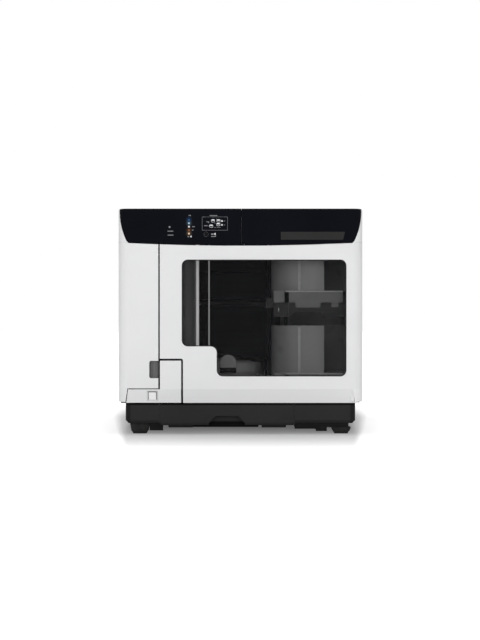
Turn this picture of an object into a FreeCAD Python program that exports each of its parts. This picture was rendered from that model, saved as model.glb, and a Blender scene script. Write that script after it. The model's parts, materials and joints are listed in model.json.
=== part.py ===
"""Desktop disc label printer with two recorders, an inkjet deck and a swing-arm disc loader.

Millimetres. +Z is up and the front faces -Y. The origin is at the middle of the footprint,
on the surface that the feet stand on. Each function makes one sub-part, and the table at the
end writes one STEP file for each.
"""
import FreeCAD
import Part
import math
import os
from FreeCAD import Vector

# ---------------------------------------------------------------- discs and what they set
disc_r = 60.0
cup_wall = 2.2              # wall of a stacker
cup_inner = disc_r + 0.8
cup_outer = cup_inner + cup_wall
turret_r = 27.0             # plates of the loader's turning post
loader_reach = cup_outer + turret_r + 5.0
tray_w = 2 * disc_r + 14.0
tray_travel = 2 * disc_r + 10.0
tray_len = 2 * disc_r + 20.0
tray_thick = 5.0
drive_w = tray_w + 12.0     # recorders and printer

# ---------------------------------------------------------------- overall size
ink_bay = 66.5              # from the left side to the partition
drive_margin = 19.0         # from the partition to the recorders
axis_pitch = tray_w / 2 + cup_outer + 12.6      # from the trays' discs to the stackers' discs
side_margin = 12.9          # from the stackers to the right side
width = ink_bay + drive_margin + drive_w / 2 + axis_pitch + cup_outer + side_margin
depth = 465.0
height = 348.0
front = -depth / 2
back = depth / 2
side = width / 2

# ---------------------------------------------------------------- shells and seams
wall = 2.5                  # side, top and rear covers
door_wall = 3.0             # doors and corner panel
corner_r = 15.0             # vertical front corners
rear_corner_r = 8.0
top_edge_r = 3.0
seam = 0.8                  # gap between neighbouring covers
pivot_gap = 0.3             # running gap round a turning corner
face_gap = 0.3              # gap between a moving piece and its neighbour
run_fit = 0.05              # radial running fit
cover_bottom = 50.4         # lower edge of the side covers
door_top = height - 52.0    # where the doors end at the corners

# ---------------------------------------------------------------- inner frame
partition_x = -side + ink_bay
partition_t = 2.0
partition_len = 277.5
right_wall_x = side - 7.5
right_wall_len = 241.5
top_beam_y = front + 13.0
top_frame_z = height - 11.5
top_frame_t = 2.0
cable_hole_r = 12.0
pillar_x, pillar_y, pillar_r = partition_x + 34.5, front + 52.5, 17.0
tie_x, tie_r = pillar_x + 19.9, 2.5
wire_x, wire_r = pillar_x + 38.1, 1.1
hinge_x = side - corner_r
hinge_y = front + corner_r
pin_r = 2.5
knuckle_r = 5.0
knuckle_h = 10.0
inner_front = hinge_y + corner_r + 1.0      # inner pieces beside a hinge start here

# ---------------------------------------------------------------- base
base_bottom = 17.0
base_side = side - 10.8     # half width of the base
base_front = front + 8.0
base_back = back - 8.0
base_r = 7.0
base_wall = 2.5
base_chamfer = 4.5
deck_thick = 2.0
deck_top = 50.0
deck_bottom = deck_top - deck_thick
deck_clear = 0.6
foot_x = base_side - 21.2
foot_front_y, foot_rear_y = base_front + 26.0, base_back - 26.0
foot_pad = 4.0              # height of a foot's tread
boss_z = 6.0
boss_left, boss_right = -foot_x + 26.5, foot_x - 32.5
pad_z = 10.0                # underside of the flat pad on the right

# ---------------------------------------------------------------- seams on the front
ink_seam = partition_x - 3.2                # middle of the seam between the two doors
ink_seam_gap = 2.2
panel_seam = ink_seam + 35.4                # middle of the seam right of the corner panel
panel_seam_gap = 2.8
panel_top = 115.6                           # middle of the seam above the corner panel

# ---------------------------------------------------------------- lower front band
band_top = 70.0             # crease where the front starts to lean in
band_bottom = deck_bottom + 0.6
band_setback = 7.0          # how far the foot of the band lies behind the front
band_end_top = side - 15.5  # half width of the band at its crease
band_end_bottom = side - 11.5               # half width of the band at its foot
ink_low = band_top + 1.2
button_x, button_z = ink_seam - 10.4, 59.4
button_w, button_h = 11.6, 12.4
bezel_w, bezel_h = 16.0, 16.0
pull_w, pull_low, pull_high = 13.9, 87.0, 113.6
latch_levels = (150.0, 250.0)

# ---------------------------------------------------------------- black head panels
head_low = height - 56.6    # lower edge at the middle
head_low_end = height - 52.4                # lower edge at the ends
head_end = side - 13.5      # half width at the lower edge
head_mid = side - 6.7       # half width part of the way up
head_mid_z = height - 30.3
head_end_top = side - 2.6   # half width at the top
head_depth = 20.0           # how far the panels reach back over the top
head_wall = 2.5
head_split = 1.5            # seam between the two panels
head_tab = 4.5              # the left panel's tab under the right one
head_tab_z = height - 54.7
door_low_head = head_low - seam

# ---------------------------------------------------------------- panel fittings
lamp_r = 1.5
lamp_x, lamp_top = ink_seam + 46.0, height - 17.4
lamp_step = 5.3
lamp_count = 5
status_x, status_z = ink_seam + 16.2, height - 28.5
panel_button_x, panel_button_z, panel_button_r = ink_seam + 72.5, height - 39.7, 2.6
strip_right, strip_len = side - 27.5, 99.0
strip_left = strip_right - strip_len
strip_low, strip_high = height - 48.2, height - 35.8
strip_taper = 3.0
strip_depth = 1.2

# ---------------------------------------------------------------- window
window_left = panel_seam - 0.6
window_right = side - 25.4
window_low = 89.6
window_high = height - 78.5
lobe_low = 135.8            # lower edge of the narrow left part
lobe_step = window_left + 53.8              # where the narrow part ends
window_r = 9.5
pane_lip = 5.0
pane_lip_thick = 1.6
pane_recess = 0.8

# ---------------------------------------------------------------- side and rear openings
top_ribs = 5
louvre_count = 9
louvre_pitch = 8.0
louvre_len = 70.0
louvre_h = 3.0
louvre_y, louvre_z = back - 112.5, height - 108.0
grip_y0, grip_y1, grip_z0, grip_z1 = back - 182.5, back - 82.5, 62.0, 88.0
inlet_x, inlet_z, inlet_w, inlet_h = side - 48.5, 84.0, 28.0, 20.6
psu_x1, psu_w, psu_len, psu_z1 = side - 22.5, 94.0, 134.0, 112.0
port_x, port_z, port_w, port_h = inlet_x - 52.0, psu_z1 + 27.0, 13.0, 12.0
board_w, board_len = 108.0, 187.0
vent_count, vent_x, vent_z, vent_pitch, vent_w, vent_h = 16, -side + 78.5, height - 108.0, 8.0, 3.0, 56.0
fan_x, fan_z, fan_size, fan_thick = side - 70.5, height - 112.0, 80.0, 20.0
grille_rings, grille_r, grille_pitch, grille_slot = 3, 10.0, 9.5, 6.0
screw_head_r, screw_r, screw_sink = 3.0, 1.5, 1.1

# ---------------------------------------------------------------- disc and loader layout
left_axis_x = partition_x + drive_margin + drive_w / 2      # recorders, printer, low bin, drawer
right_axis = Vector(left_axis_x + axis_pitch, front + cup_outer + 39.5, 0)      # stackers 1 and 2
loader_x = left_axis_x + 87.0
loader_y = right_axis.y + math.sqrt(loader_reach**2 - (right_axis.x - loader_x)**2)
left_axis = Vector(left_axis_x, loader_y - math.sqrt(loader_reach**2 - (loader_x - left_axis_x)**2), 0)
loader_axis = Vector(loader_x, loader_y, 0)

# ---------------------------------------------------------------- loader
column_r = 9.0
guide_r = 3.0
guide_offset = 20.0
turret_low = 54.0
turret_high = height - 13.0
plate_t = 3.0
gear_teeth = 40
gear_module = 1.35
gear_h = 5.0
gear_backlash = 0.2
pinion_teeth = 16
pinion_bearing = 60.0       # degrees, from the loader's axis to the pinion's
pinion_bore = 1.5
motor_r, motor_h = 10.0, 22.0
arm_z = height - 32.0       # underside of the arm at rest
arm_h = 14.0
arm_root_w = 30.0
arm_tip_w = 22.0
head_r = 23.0
gripper_r = 7.0
gripper_len = 13.0
loader_rest = math.degrees(math.atan2(left_axis.y - loader_axis.y, left_axis.x - loader_axis.x))

# ---------------------------------------------------------------- stackers
seat_top = 74.0             # ledge under stacker 2
stack_gap = 35.2            # from the top of stacker 2 to the shelf of stacker 1
stack_h = (arm_z - gripper_len - 6.8 - seat_top - stack_gap) / 2
shelf_top = seat_top + stack_h + stack_gap
cup_floor = 3.0
cup_base = 19.5             # height of the footed base of stackers 1 and 2
cup_height = stack_h - cup_base             # wall above the base
cup_slot = 34.0             # slot that the arm comes in by
finger_from, finger_to = -73.0, -12.0       # finger cut-out, degrees
shelf_thick = 2.5
shelf_skirt = 21.8
shelf_left = right_axis.x - 60.6
grip_left, grip_right, lug_gap = right_axis.x - 42.6, right_axis.x + 47.4, 1.2
pull_left, pull_right, pull_drop = right_axis.x - 26.6, right_axis.x + 12.4, 7.0
arch_left, arch_right, arch_top = right_axis.x - 34.6, right_axis.x + 17.4, shelf_top - 14.2
stacker_front = right_axis.y - cup_outer - 3.0
seat_lead = 2.0             # shelf and seat stand this far before the stackers
sensor_w, sensor_h = 11.0, 15.0

# ---------------------------------------------------------------- recorders
drive_h = 41.3
drive_len = tray_len + 30.0
drive_pitch = 45.8
drive_low = arm_z - gripper_len - 3.9 - drive_h - drive_pitch
drive_skin = 1.2
bezel_thick = 3.0
tray_rise = 18.0            # tray's underside above the recorder's
flap_h = 12.0
bezel_y = left_axis.y + disc_r + 6.0
drive_left = left_axis.x - drive_w / 2
drive_right = left_axis.x + drive_w / 2

# ---------------------------------------------------------------- printer
printer_h = 88.0
printer_high = drive_low - 12.0
printer_low = printer_high - printer_h
printer_len = 190.0
printer_skin = 2.0
printer_tray_rise = 12.0
rod_r = 3.0
carriage_rod_y = left_axis.y + tray_travel + 14.0
carriage_rod_z = printer_low + 56.0
carriage_w = 46.0
bin_top = printer_low - 4.0                 # stacker 3
bin_height = bin_top - deck_top
tab_left, tab_right = left_axis.x - 2.0, left_axis.x + 23.0
tab_low, tab_high = bin_top - 16.0, bin_top + 13.0
tab_gap, tab_thick = 1.9, 4.0               # grip tab before the low bin's wall

# ---------------------------------------------------------------- drawer
drawer_left = ink_seam + 0.7
drawer_right = left_axis.x + 112.7
drawer_mid = (drawer_left + drawer_right) / 2
drawer_low = 14.0
drawer_high = 46.8
drawer_gap = 0.9
drawer_len = 262.0
drawer_floor = 2.0
drawer_plate = 22.0         # height of the disc platform above the drawer's floor
well_r = disc_r + 1.5
well_depth = 10.0
runner_w = 4.0
runner_low, runner_high = 33.0, 37.0
bay_floor = base_bottom + 2.0
bay_back = base_front + drawer_len + 8.0
recess_half_top, recess_half_low = 17.4, 27.8       # finger recess of the drawer
recess_low, recess_top, recess_depth = 17.0, 28.3, 12.0
recess_roof = 31.0
lip_low = 10.5
lip_w = 37.2
drawer_lips = ((drawer_left + 13.5, drawer_left + 13.5 + lip_w),
               (drawer_right - 12.7 - lip_w, drawer_right - 12.7))

# ---------------------------------------------------------------- ink bay
bay_left, bay_right = -side + wall + 3.0, partition_x - partition_t - 2.0
ink_count = 6
ink_pitch = 33.0
ink_h, ink_len = 29.0, 92.0
ink_w = bay_right - bay_left - 13.0
ink_low_z = 84.0
rack_back = inner_front + ink_len + 14.0


# ================================================================ helpers
def box(x0, y0, z0, x1, y1, z1):
    """Box between two corners."""
    return Part.makeBox(x1 - x0, y1 - y0, z1 - z0, Vector(x0, y0, z0))


def rod(x, y, z, radius, length, axis=(0, 0, 1)):
    """Cylinder from a point along an axis."""
    return Part.makeCylinder(radius, length, Vector(x, y, z), Vector(*axis))


def place(u, v, plane, start):
    """A point of an outline in the plan (top), front or side view."""
    if plane == "plan":
        return Vector(u, v, start)
    if plane == "front":
        return Vector(u, start, v)
    return Vector(start, u, v)


def outline(points, plane, start):
    """Closed wire through (u, v) or (u, v, corner radius) points, with tangent corner arcs."""
    corners = [(place(p[0], p[1], plane, start), p[2] if len(p) > 2 else 0) for p in points]
    edges, ends = [], []
    for i, (here, radius) in enumerate(corners):
        before = corners[i - 1][0] - here
        after = corners[(i + 1) % len(corners)][0] - here
        if radius == 0:
            ends.append((here, here))
            continue
        half = before.getAngle(after) / 2
        run = radius / math.tan(half)
        before.normalize()
        after.normalize()
        inward = (before + after).normalize()
        middle = here + inward * (radius / math.sin(half) - radius)
        start_arc, end_arc = here + before * run, here + after * run
        edges.append((i, Part.Arc(start_arc, middle, end_arc).toShape()))
        ends.append((start_arc, end_arc))
    arcs = dict(edges)
    loop = []
    for i in range(len(corners)):
        if i in arcs:
            loop.append(arcs[i])
        a, b = ends[i][1], ends[(i + 1) % len(corners)][0]
        if a.distanceToPoint(b) > 1e-6:
            loop.append(Part.makeLine(a, b))
    return Part.Wire(loop)


def prism(points, plane, start, stop):
    """Solid swept straight from an outline."""
    along = place(0, 0, plane, 1) - place(0, 0, plane, 0)
    return Part.Face(outline(points, plane, start)).extrude(along * (stop - start))


def rounded(x0, y0, x1, y1, radius):
    """Corner points of a rounded rectangle."""
    return [(x0, y0, radius), (x1, y0, radius), (x1, y1, radius), (x0, y1, radius)]


def fuse(*solids):
    """One clean solid from several that touch."""
    whole = solids[0].multiFuse(list(solids[1:]))
    return whole.removeSplitter()


def cut(solid, *tools):
    """A solid less several tools."""
    return solid.cut(list(tools)).removeSplitter()


def group(solids):
    """Separate solids kept in one node."""
    return Part.makeCompound(solids)


def turned(shape, centre, degrees, axis=(0, 0, 1)):
    """A copy turned about a vertical or given axis through a point."""
    copy = shape.copy()
    copy.rotate(centre, Vector(*axis), degrees)
    return copy


def sector(centre, r0, r1, z0, z1, a0, a1):
    """Ring segment about a vertical axis, from angle a0 to a1 in degrees."""
    outer = Part.makeCylinder(r1, z1 - z0, Vector(centre.x, centre.y, z0), Vector(0, 0, 1), a1 - a0)
    ring = outer
    if r0 > 0:
        ring = outer.cut(Part.makeCylinder(r0, z1 - z0, Vector(centre.x, centre.y, z0)))
    return turned(ring, centre, a0)


# ================================================================ outer shell
def body_block(inset, z0, z1, edge_r):
    """The cabinet's outer form, inset from its faces, with a rounded upper edge."""
    fr, rr = corner_r - inset, rear_corner_r - inset
    x, y0, y1 = side - inset, front + inset, back - inset
    block = prism([(-x, y0, fr), (x, y0, fr), (x, y1, rr), (-x, y1, rr)], "plan", z0, z1)
    rim = [e for e in block.Edges if min(v.Z for v in e.Vertexes) > z1 - 0.01]
    return block.makeFillet(edge_r, rim)


def cabinet_shell():
    """The whole cabinet's wall, open at the bottom."""
    outer = body_block(0, cover_bottom, height, top_edge_r)
    inner = body_block(wall, cover_bottom - 1, height - wall, top_edge_r - wall)
    return outer.cut(inner)


def head_outline(drop):
    """Front view of the black head panels, with the lower edge moved down and out by drop."""
    low, end = head_low - drop, head_end + drop
    left = [Vector(-head_end_top - drop, 0, height + 1), Vector(-head_mid - drop, 0, head_mid_z),
            Vector(-end, 0, head_low_end + 3 - drop)]
    right = [Vector(-p.x, 0, p.z) for p in reversed(left)]
    foot_left, foot_right = Vector(-end + 3.5, 0, head_low_end - drop), \
        Vector(end - 3.5, 0, head_low_end - drop)
    edges = [Part.Arc(left[0], left[1] + Vector(-0.6, 0, 0), left[2]).toShape(),
             Part.makeLine(left[2], foot_left),
             Part.Arc(foot_left, Vector(0, 0, low), foot_right).toShape(),
             Part.makeLine(foot_right, right[0]),
             Part.Arc(right[0], right[1] + Vector(0.6, 0, 0), right[2]).toShape(),
             Part.makeLine(right[2], left[0])]
    return Part.Wire(edges)


def head_prism(drop):
    """Everything behind the head panels' outline, in a slice at the front."""
    wire = head_outline(drop)
    wire.translate(Vector(0, front - 5, 0))
    return Part.Face(wire).extrude(Vector(0, head_depth + 5, 0))


def head_shell():
    """Both head panels as one wall with a rounded upper edge and ribs behind."""
    outer = body_block(0, head_low - 10, height, top_edge_r)
    inner = body_block(head_wall, head_low - 11, height - head_wall, top_edge_r - head_wall)
    return outer.cut(inner).common(head_prism(0))


def left_part(z0=head_low - 10, z1=height + 5):
    """Region of the left head panel, with its tab."""
    y0, y1 = front - 6, front + head_depth + 6
    return fuse(box(-side - 5, y0, z0, head_split - seam / 4, y1, z1),
                box(head_split - 2, y0, z0, head_split + head_tab, y1, head_tab_z))


def control_panel():
    """Left head panel, with its lamp holes and the button's hole."""
    panel = head_shell().common(left_part())
    holes = [rod(x, front - 1, z, lamp_r + 0.05, head_wall + 2, (0, 1, 0)) for x, z in lamp_places()]
    holes.append(rod(panel_button_x, front - 1, panel_button_z, panel_button_r + face_gap,
                     head_wall + 2, (0, 1, 0)))
    return cut(panel, *holes)


def right_panel():
    """Right head panel, with the recess that takes the grey strip."""
    region = cut(box(head_split + seam / 4, front - 6, head_low - 10, side + 5,
                     front + head_depth + 6, height + 5),
                 box(head_split - 2, front - 7, head_low - 11, head_split + head_tab + 0.4,
                     front + head_depth + 7, head_tab_z + 0.4))
    panel = head_shell().common(region)
    pocket = prism(strip_points(0.15), "front", front - 1, front + strip_depth)
    return cut(panel, pocket)


def lamp_places():
    """Centres of the panel's lamps: one status lamp and a column of ink lamps."""
    column = [(lamp_x, lamp_top - i * lamp_step) for i in range(lamp_count)]
    return [(status_x, status_z)] + column


def panel_lamps():
    """Domed lenses in the control panel."""
    lenses = []
    for x, z in lamp_places():
        body = rod(x, front + 0.1, z, lamp_r, head_wall + 1.5, (0, 1, 0))
        flange = rod(x, front + head_wall + 0.1, z, lamp_r + 0.6, 1.5, (0, 1, 0))
        lenses.append(fuse(body, flange))
    return group(lenses)


def panel_button():
    """Round button of the control panel, with a flange that stops it from behind."""
    cap = rod(panel_button_x, front, panel_button_z, panel_button_r, head_wall + 2.0, (0, 1, 0))
    rim = [e for e in cap.Edges if e.BoundBox.YMax < front + 0.5]
    cap = cap.makeChamfer(0.4, rim)
    flange = rod(panel_button_x, front + head_wall + 0.3, panel_button_z, panel_button_r + 1.2, 1.2,
                 (0, 1, 0))
    return fuse(cap, flange)


def panel_board():
    """Circuit board behind the control panel, on two studs, with its lamps and key."""
    y = front + head_wall + 6.0
    x0, x1 = ink_seam - 2.8, ink_seam + 95.2
    parts = [box(x0, y, door_top + 7, x1, y + 1.6, height - 10.0)]
    for x, z in lamp_places():
        parts.append(rod(x, y - 1.5, z, 1.2, 1.6, (0, 1, 0)))
    parts.append(box(panel_button_x - 3, y - 1.2, panel_button_z - 3, panel_button_x + 3, y + 0.1,
                     panel_button_z + 3))
    for x in (x0 + 6, x1 - 6):
        parts.append(rod(x, y + 1.5, door_top + 12, 2.5, top_beam_y - y - 1.5, (0, 1, 0)))
    return fuse(*parts)


def strip_points(grow):
    """Front view of the grey strip: a bar with one tapered end."""
    left, right = strip_left - grow, strip_right + grow
    low, high = strip_low - grow, strip_high + grow
    return [(left, low, 0.8), (right - strip_taper, low, 0.8), (right, high, 0.8), (left, high, 0.8)]


def indicator_strip():
    """Grey lens strip let into the right head panel."""
    return prism(strip_points(0), "front", front + 0.3, front + strip_depth)


def side_cover(sign):
    """Side wall with the rounded upper edge and front corner, louvres and a hand grip."""
    shell = cabinet_shell()
    inner_x = side - 6.0
    x0, x1 = (inner_x, side + 1) if sign > 0 else (-side - 1, -inner_x)
    xf = side - corner_r - 6.0
    f0, f1 = (xf, side + 1) if sign > 0 else (-side - 1, -xf)
    region = fuse(box(x0, front - 1, cover_bottom - 1, x1, back - rear_corner_r - seam, height + 1),
                  box(f0, front - 1, cover_bottom - 1, f1, hinge_y, height + 1))
    cover = shell.common(region)
    centre = Vector(sign * hinge_x, hinge_y, 0)
    door_zone = fuse(box(min(f0, f1) - 1, front - 2, cover_bottom - 2, max(f0, f1) + 1, hinge_y + 0.5,
                         door_top + seam),
                     rod(centre.x, centre.y, cover_bottom - 2, corner_r + pivot_gap,
                         door_top + seam - cover_bottom + 2))
    cover = cover.cut([door_zone, head_prism(0.4)])
    cover = max(cover.Solids, key=lambda s: s.Volume)
    return cut(cover, *louvres(sign), hand_grip(sign))


def louvres(sign):
    """Slots in a side cover, towards the back."""
    x0, x1 = (side - wall - 1, side + 1) if sign > 0 else (-side - 1, -side + wall + 1)
    slots = []
    for i in range(louvre_count):
        z = louvre_z + i * louvre_pitch
        slots.append(box(x0, louvre_y, z, x1, louvre_y + louvre_len, z + louvre_h))
    return slots


def hand_grip(sign):
    """Opening of the lifting recess in a side cover."""
    x0, x1 = (side - wall - 1, side + 1) if sign > 0 else (-side - 1, -side + wall + 1)
    return prism(rounded(grip_y0, grip_z0, grip_y1, grip_z1, 8.0), "side", x0, x1)


def grip_pocket(sign):
    """Pocket behind a lifting recess, with a rim that seats on the cover's inner face."""
    reach, skin, lip = 16.0, 2.0, 4.0
    xs = sorted((sign * (side - wall), sign * (side - wall - reach)))
    outer = prism(rounded(grip_y0 - skin, grip_z0 - skin, grip_y1 + skin, grip_z1 + skin, 10.0),
                  "side", xs[0], xs[1])
    xi = sorted((sign * (side - wall + 1), sign * (side - wall - reach + skin)))
    inner = prism(rounded(grip_y0, grip_z0, grip_y1, grip_z1, 8.0), "side", xi[0], xi[1])
    xr = sorted((sign * (side - wall), sign * (side - wall - skin)))
    rim = prism(rounded(grip_y0 - lip, grip_z0 - lip, grip_y1 + lip, grip_z1 + lip, 12.0),
                "side", xr[0], xr[1])
    return cut(fuse(outer, rim), inner)


def top_cover():
    """Flat top, with stiffening ribs under it."""
    y0, y1 = front + head_depth + seam, back - rear_corner_r - seam
    x = side - 6.0 - seam
    plate = prism(rounded(-x, y0, x, y1, 2.0), "plan", height - wall, height)
    pitch = (y1 - y0) / top_ribs
    ribs = [box(-x + 8, y0 + (i + 0.5) * pitch, height - wall - 3.0, x - 8, y0 + (i + 0.5) * pitch + 2,
                height - wall + 0.1) for i in range(top_ribs)]
    return fuse(plate, *ribs)


def rear_cover():
    """Rear wall with rounded corners, the fan's grille, the inlet's and the port's openings."""
    shell = cabinet_shell()
    cover = shell.common(box(-side - 1, back - rear_corner_r, cover_bottom - 1, side + 1, back + 1,
                             height + 1))
    tools = [box(inlet_x - inlet_w / 2, back - wall - 1, inlet_z - inlet_h / 2,
                 inlet_x + inlet_w / 2, back + 1, inlet_z + inlet_h / 2),
             box(port_x - port_w / 2, back - wall - 1, port_z - port_h / 2,
                 port_x + port_w / 2, back + 1, port_z + port_h / 2)]
    tools += fan_grille_slots()
    for i in range(vent_count):
        x = vent_x + i * vent_pitch
        tools.append(box(x, back - wall - 1, vent_z, x + vent_w, back + 1, vent_z + vent_h))
    for x, z in screw_places():
        tools.append(rod(x, back - screw_sink, z, screw_head_r + 0.2, 5, (0, 1, 0)))
        tools.append(rod(x, back - wall - 1, z, screw_r, wall + 2, (0, 1, 0)))
    return cut(cover, *tools)


def fan_grille_slots():
    """Ring-shaped slots of the fan's grille, with four spokes left between them."""
    slots = []
    for i in range(grille_rings):
        r0 = grille_r + i * grille_pitch
        r1 = r0 + grille_slot
        for quarter in range(4):
            inset = math.degrees(2.0 / r0)
            ring = Part.makeCylinder(r1, wall + 2, Vector(0, 0, 0), Vector(0, 0, 1), 90 - 2 * inset)
            ring = ring.cut(Part.makeCylinder(r0, wall + 2))
            ring = turned(ring, Vector(0, 0, 0), quarter * 90 + inset + 45)
            ring.rotate(Vector(0, 0, 0), Vector(1, 0, 0), 90)
            ring.translate(Vector(fan_x, back + 1, fan_z))
            slots.append(ring)
    return slots


# ================================================================ doors and corner panel
def front_section(z_low):
    """Side view of a front panel's wall: upright, then leaning in below the crease."""
    slope = band_setback / (band_top - band_bottom)
    foot = front + (band_top - z_low) * slope
    if z_low >= band_top:
        return [(front, z_low), (front, height), (front + door_wall, height),
                (front + door_wall, z_low)]
    return [(front, band_top), (front, height), (front + door_wall, height),
            (front + door_wall, band_top + 0.4), (foot + door_wall, z_low), (foot, z_low)]


def corner_post(sign, z0, z1, a0, a1):
    """Rounded corner of a door about its hinge axis."""
    centre = Vector(sign * hinge_x, hinge_y, 0)
    return sector(centre, corner_r - door_wall, corner_r, z0, z1, a0, a1)


def band_end(sign, grow, y0, y1, ceiling=band_top):
    """Region beside the lower band's slanted end, on the corner's side of it."""
    top, low = sign * (band_end_top + grow), sign * (band_end_bottom + grow)
    far = sign * (side + 5)
    points = [(top, ceiling), (far, ceiling), (far, band_bottom - 3), (low, band_bottom - 3)]
    if sign < 0:
        points.reverse()
    return prism(points, "front", y0, y1)


def knuckles(sign):
    """Hinge knuckles at the top and bottom of a door, each on a web."""
    centre = Vector(sign * hinge_x, hinge_y, 0)
    parts = []
    for z in knuckle_levels(sign):
        parts.append(rod(centre.x, centre.y, z, knuckle_r, knuckle_h))
        x0, x1 = sorted((centre.x, centre.x - sign * 3.0))
        parts.append(box(x0, front + door_wall - 0.5, z, x1, centre.y, z + knuckle_h))
        rib = box(centre.x - 1.5, front + door_wall - 0.5, z, centre.x + 1.5, centre.y, z + knuckle_h)
        parts.append(rib)
    return parts


def knuckle_levels(sign):
    """Heights of the undersides of a door's two knuckles."""
    low = cover_bottom + 0.6 if sign > 0 else ink_low + 1.0
    return (low, door_top - knuckle_h - 2.0)


def door_front(x0, x1, z_low):
    """Flat front wall of a door between two seams."""
    return prism(front_section(z_low), "side", x0, x1)


def below_head(shape):
    """Trim a door along the curved lower edge of the head panels."""
    ceiling = head_prism(seam)
    above = box(-side - 5, front - 6, door_top, side + 5, front + 60, height + 20)
    return shape.cut([ceiling, above])


def window_points(grow):
    """Front view of the window's opening, grown outwards by grow."""
    r = window_r
    return [(window_left - grow, lobe_low - grow, r + grow),
            (lobe_step - grow, lobe_low - grow, r - grow),
            (lobe_step - grow, window_low - grow, r + grow),
            (window_right + grow, window_low - grow, r + grow),
            (window_right + grow, window_high + grow, r + grow),
            (window_left - grow, window_high + grow, r + grow)]


def rim_ribs(x0, x1, z0, z1, rib_depth):
    """Rectangular stiffening rim behind a door's front wall."""
    y0, y1 = front + door_wall - 0.3, front + door_wall + rib_depth
    outer = box(x0, y0, z0, x1, y1, z1)
    return outer.cut(box(x0 + 2, y0 - 1, z0 + 2, x1 - 2, y1 + 1, z1 - 2))


def cover_corner():
    """Rounded corner of the disc cover, cut along the lower band's slanted end, and the web that
    closes it against the band."""
    high = corner_post(1, band_top, door_top, -90, 12)
    low = corner_post(1, cover_bottom, band_top, -90, 12).common(band_end(1, 0, front - 1, 0))
    slab = band_end(1, 0, front - 1, front + 20).cut(band_end(1, 2.0, front - 2, front + 21))
    behind = prism([(front - 1, band_bottom), (front + band_setback + door_wall, band_bottom),
                    (front + door_wall, band_top), (front - 1, band_top)], "side", 0, side)
    inside = rod(hinge_x, hinge_y, band_bottom, corner_r, band_top - band_bottom)
    return fuse(high, low, slab.common(behind).common(inside))


def disc_cover():
    """Right-hand door: flat front, rounded corner, leaning foot and the window's opening."""
    left = ink_seam + ink_seam_gap / 2
    notch_x = panel_seam + panel_seam_gap / 2
    notch_z = panel_top + panel_seam_gap / 2
    flat = door_front(left, hinge_x, band_bottom)
    band_tail = door_front(hinge_x - 1, band_end_bottom, band_bottom)
    band_tail = band_tail.common(box(0, front - 1, 0, side, front + 20, band_top))
    wall_front = flat.fuse(band_tail).cut(band_end(1, 0, front - 1, front + 20))
    notch = prism([(left - 5, band_bottom - 5), (notch_x, band_bottom - 5), (notch_x, notch_z, 3.2),
                   (left - 5, notch_z)], "front", front - 1, front + 20)
    shell = below_head(fuse(wall_front.cut(notch), cover_corner()))
    rim = rim_ribs(notch_x + 3, hinge_x - 8, band_top + 4, door_low_head - 4, 4.0)
    upper = box(left + 3, front + door_wall - 0.3, notch_z + 3, left + 5, front + door_wall + 4.0,
                door_low_head - 4)
    opening = prism(window_points(0), "front", front - 1, front + door_wall + 1)
    behind = prism(window_points(pane_lip + 0.4), "front", front + door_wall, front + 20)
    door = fuse(shell, rim, upper, *latches(left)).cut([opening, behind])
    door = fuse(door, *knuckles(1))
    bores = [rod(hinge_x, hinge_y, z - 1, pin_r + run_fit, knuckle_h + 2) for z in knuckle_levels(1)]
    return cut(door, *bores)


def latches(left):
    """Hooked catches behind the free edge of the disc cover."""
    hooks = []
    for z in latch_levels:
        y = front + door_wall
        hooks.append(prism([(y - 0.3, z), (y + 9, z), (y + 9, z + 6), (y + 6, z + 6), (y + 6, z + 3),
                            (y - 0.3, z + 3)], "side", left + 3, left + 9))
    return hooks


def cover_window():
    """Smoked pane: a raised field that fills the opening, on a lip behind the door's wall."""
    field = prism(window_points(-0.25), "front", front + pane_recess, front + door_wall)
    lip = prism(window_points(pane_lip), "front", front + door_wall,
                front + door_wall + pane_lip_thick)
    return fuse(field, lip)


def ink_cover():
    """Left-hand door over the ink bay, with a finger notch in its free edge."""
    right = ink_seam - ink_seam_gap / 2
    wall_front = box(-hinge_x, front, ink_low, right, front + door_wall, height)
    post = corner_post(-1, ink_low, door_top, 168, 270)
    foot = corner_post(-1, cover_bottom, ink_low, 168, 270)
    foot = foot.common(band_end(-1, seam, front - 1, hinge_y + corner_r, ink_low + 1))
    shell = below_head(fuse(wall_front, post, foot))
    notch = prism([(right - pull_w, pull_low, 3.0), (right + 4, pull_low), (right + 4, pull_high),
                   (right - pull_w, pull_high, 3.0)], "front", front - 1, front + door_wall + 1)
    rim = rim_ribs(-hinge_x + 6, right - 3, pull_high + 6, door_low_head - 4, 4.0)
    door = fuse(shell, rim).cut([notch])
    door = fuse(max(door.Solids, key=lambda s: s.Volume), *knuckles(-1))
    bores = [rod(-hinge_x, hinge_y, z - 1, pin_r + run_fit, knuckle_h + 2) for z in knuckle_levels(-1)]
    return cut(door, *bores)


def ink_cover_pull():
    """Grey finger pocket seated behind the ink cover's notch, open towards the free edge."""
    right = ink_seam - ink_seam_gap / 2
    x0, x1 = right - pull_w - 2.0, right
    y0, y1 = front + door_wall, front + door_wall + 12.0
    outer = box(x0, y0, pull_low - 2, x1, y1, pull_high + 2)
    scoop = prism([(x0 + 2, y0 - 1), (x1 + 1, y0 - 1), (x1 + 1, y1 - 2), (x0 + 8, y1 - 2, 4.0)],
                  "plan", pull_low, pull_high)
    return cut(outer, scoop)


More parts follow.
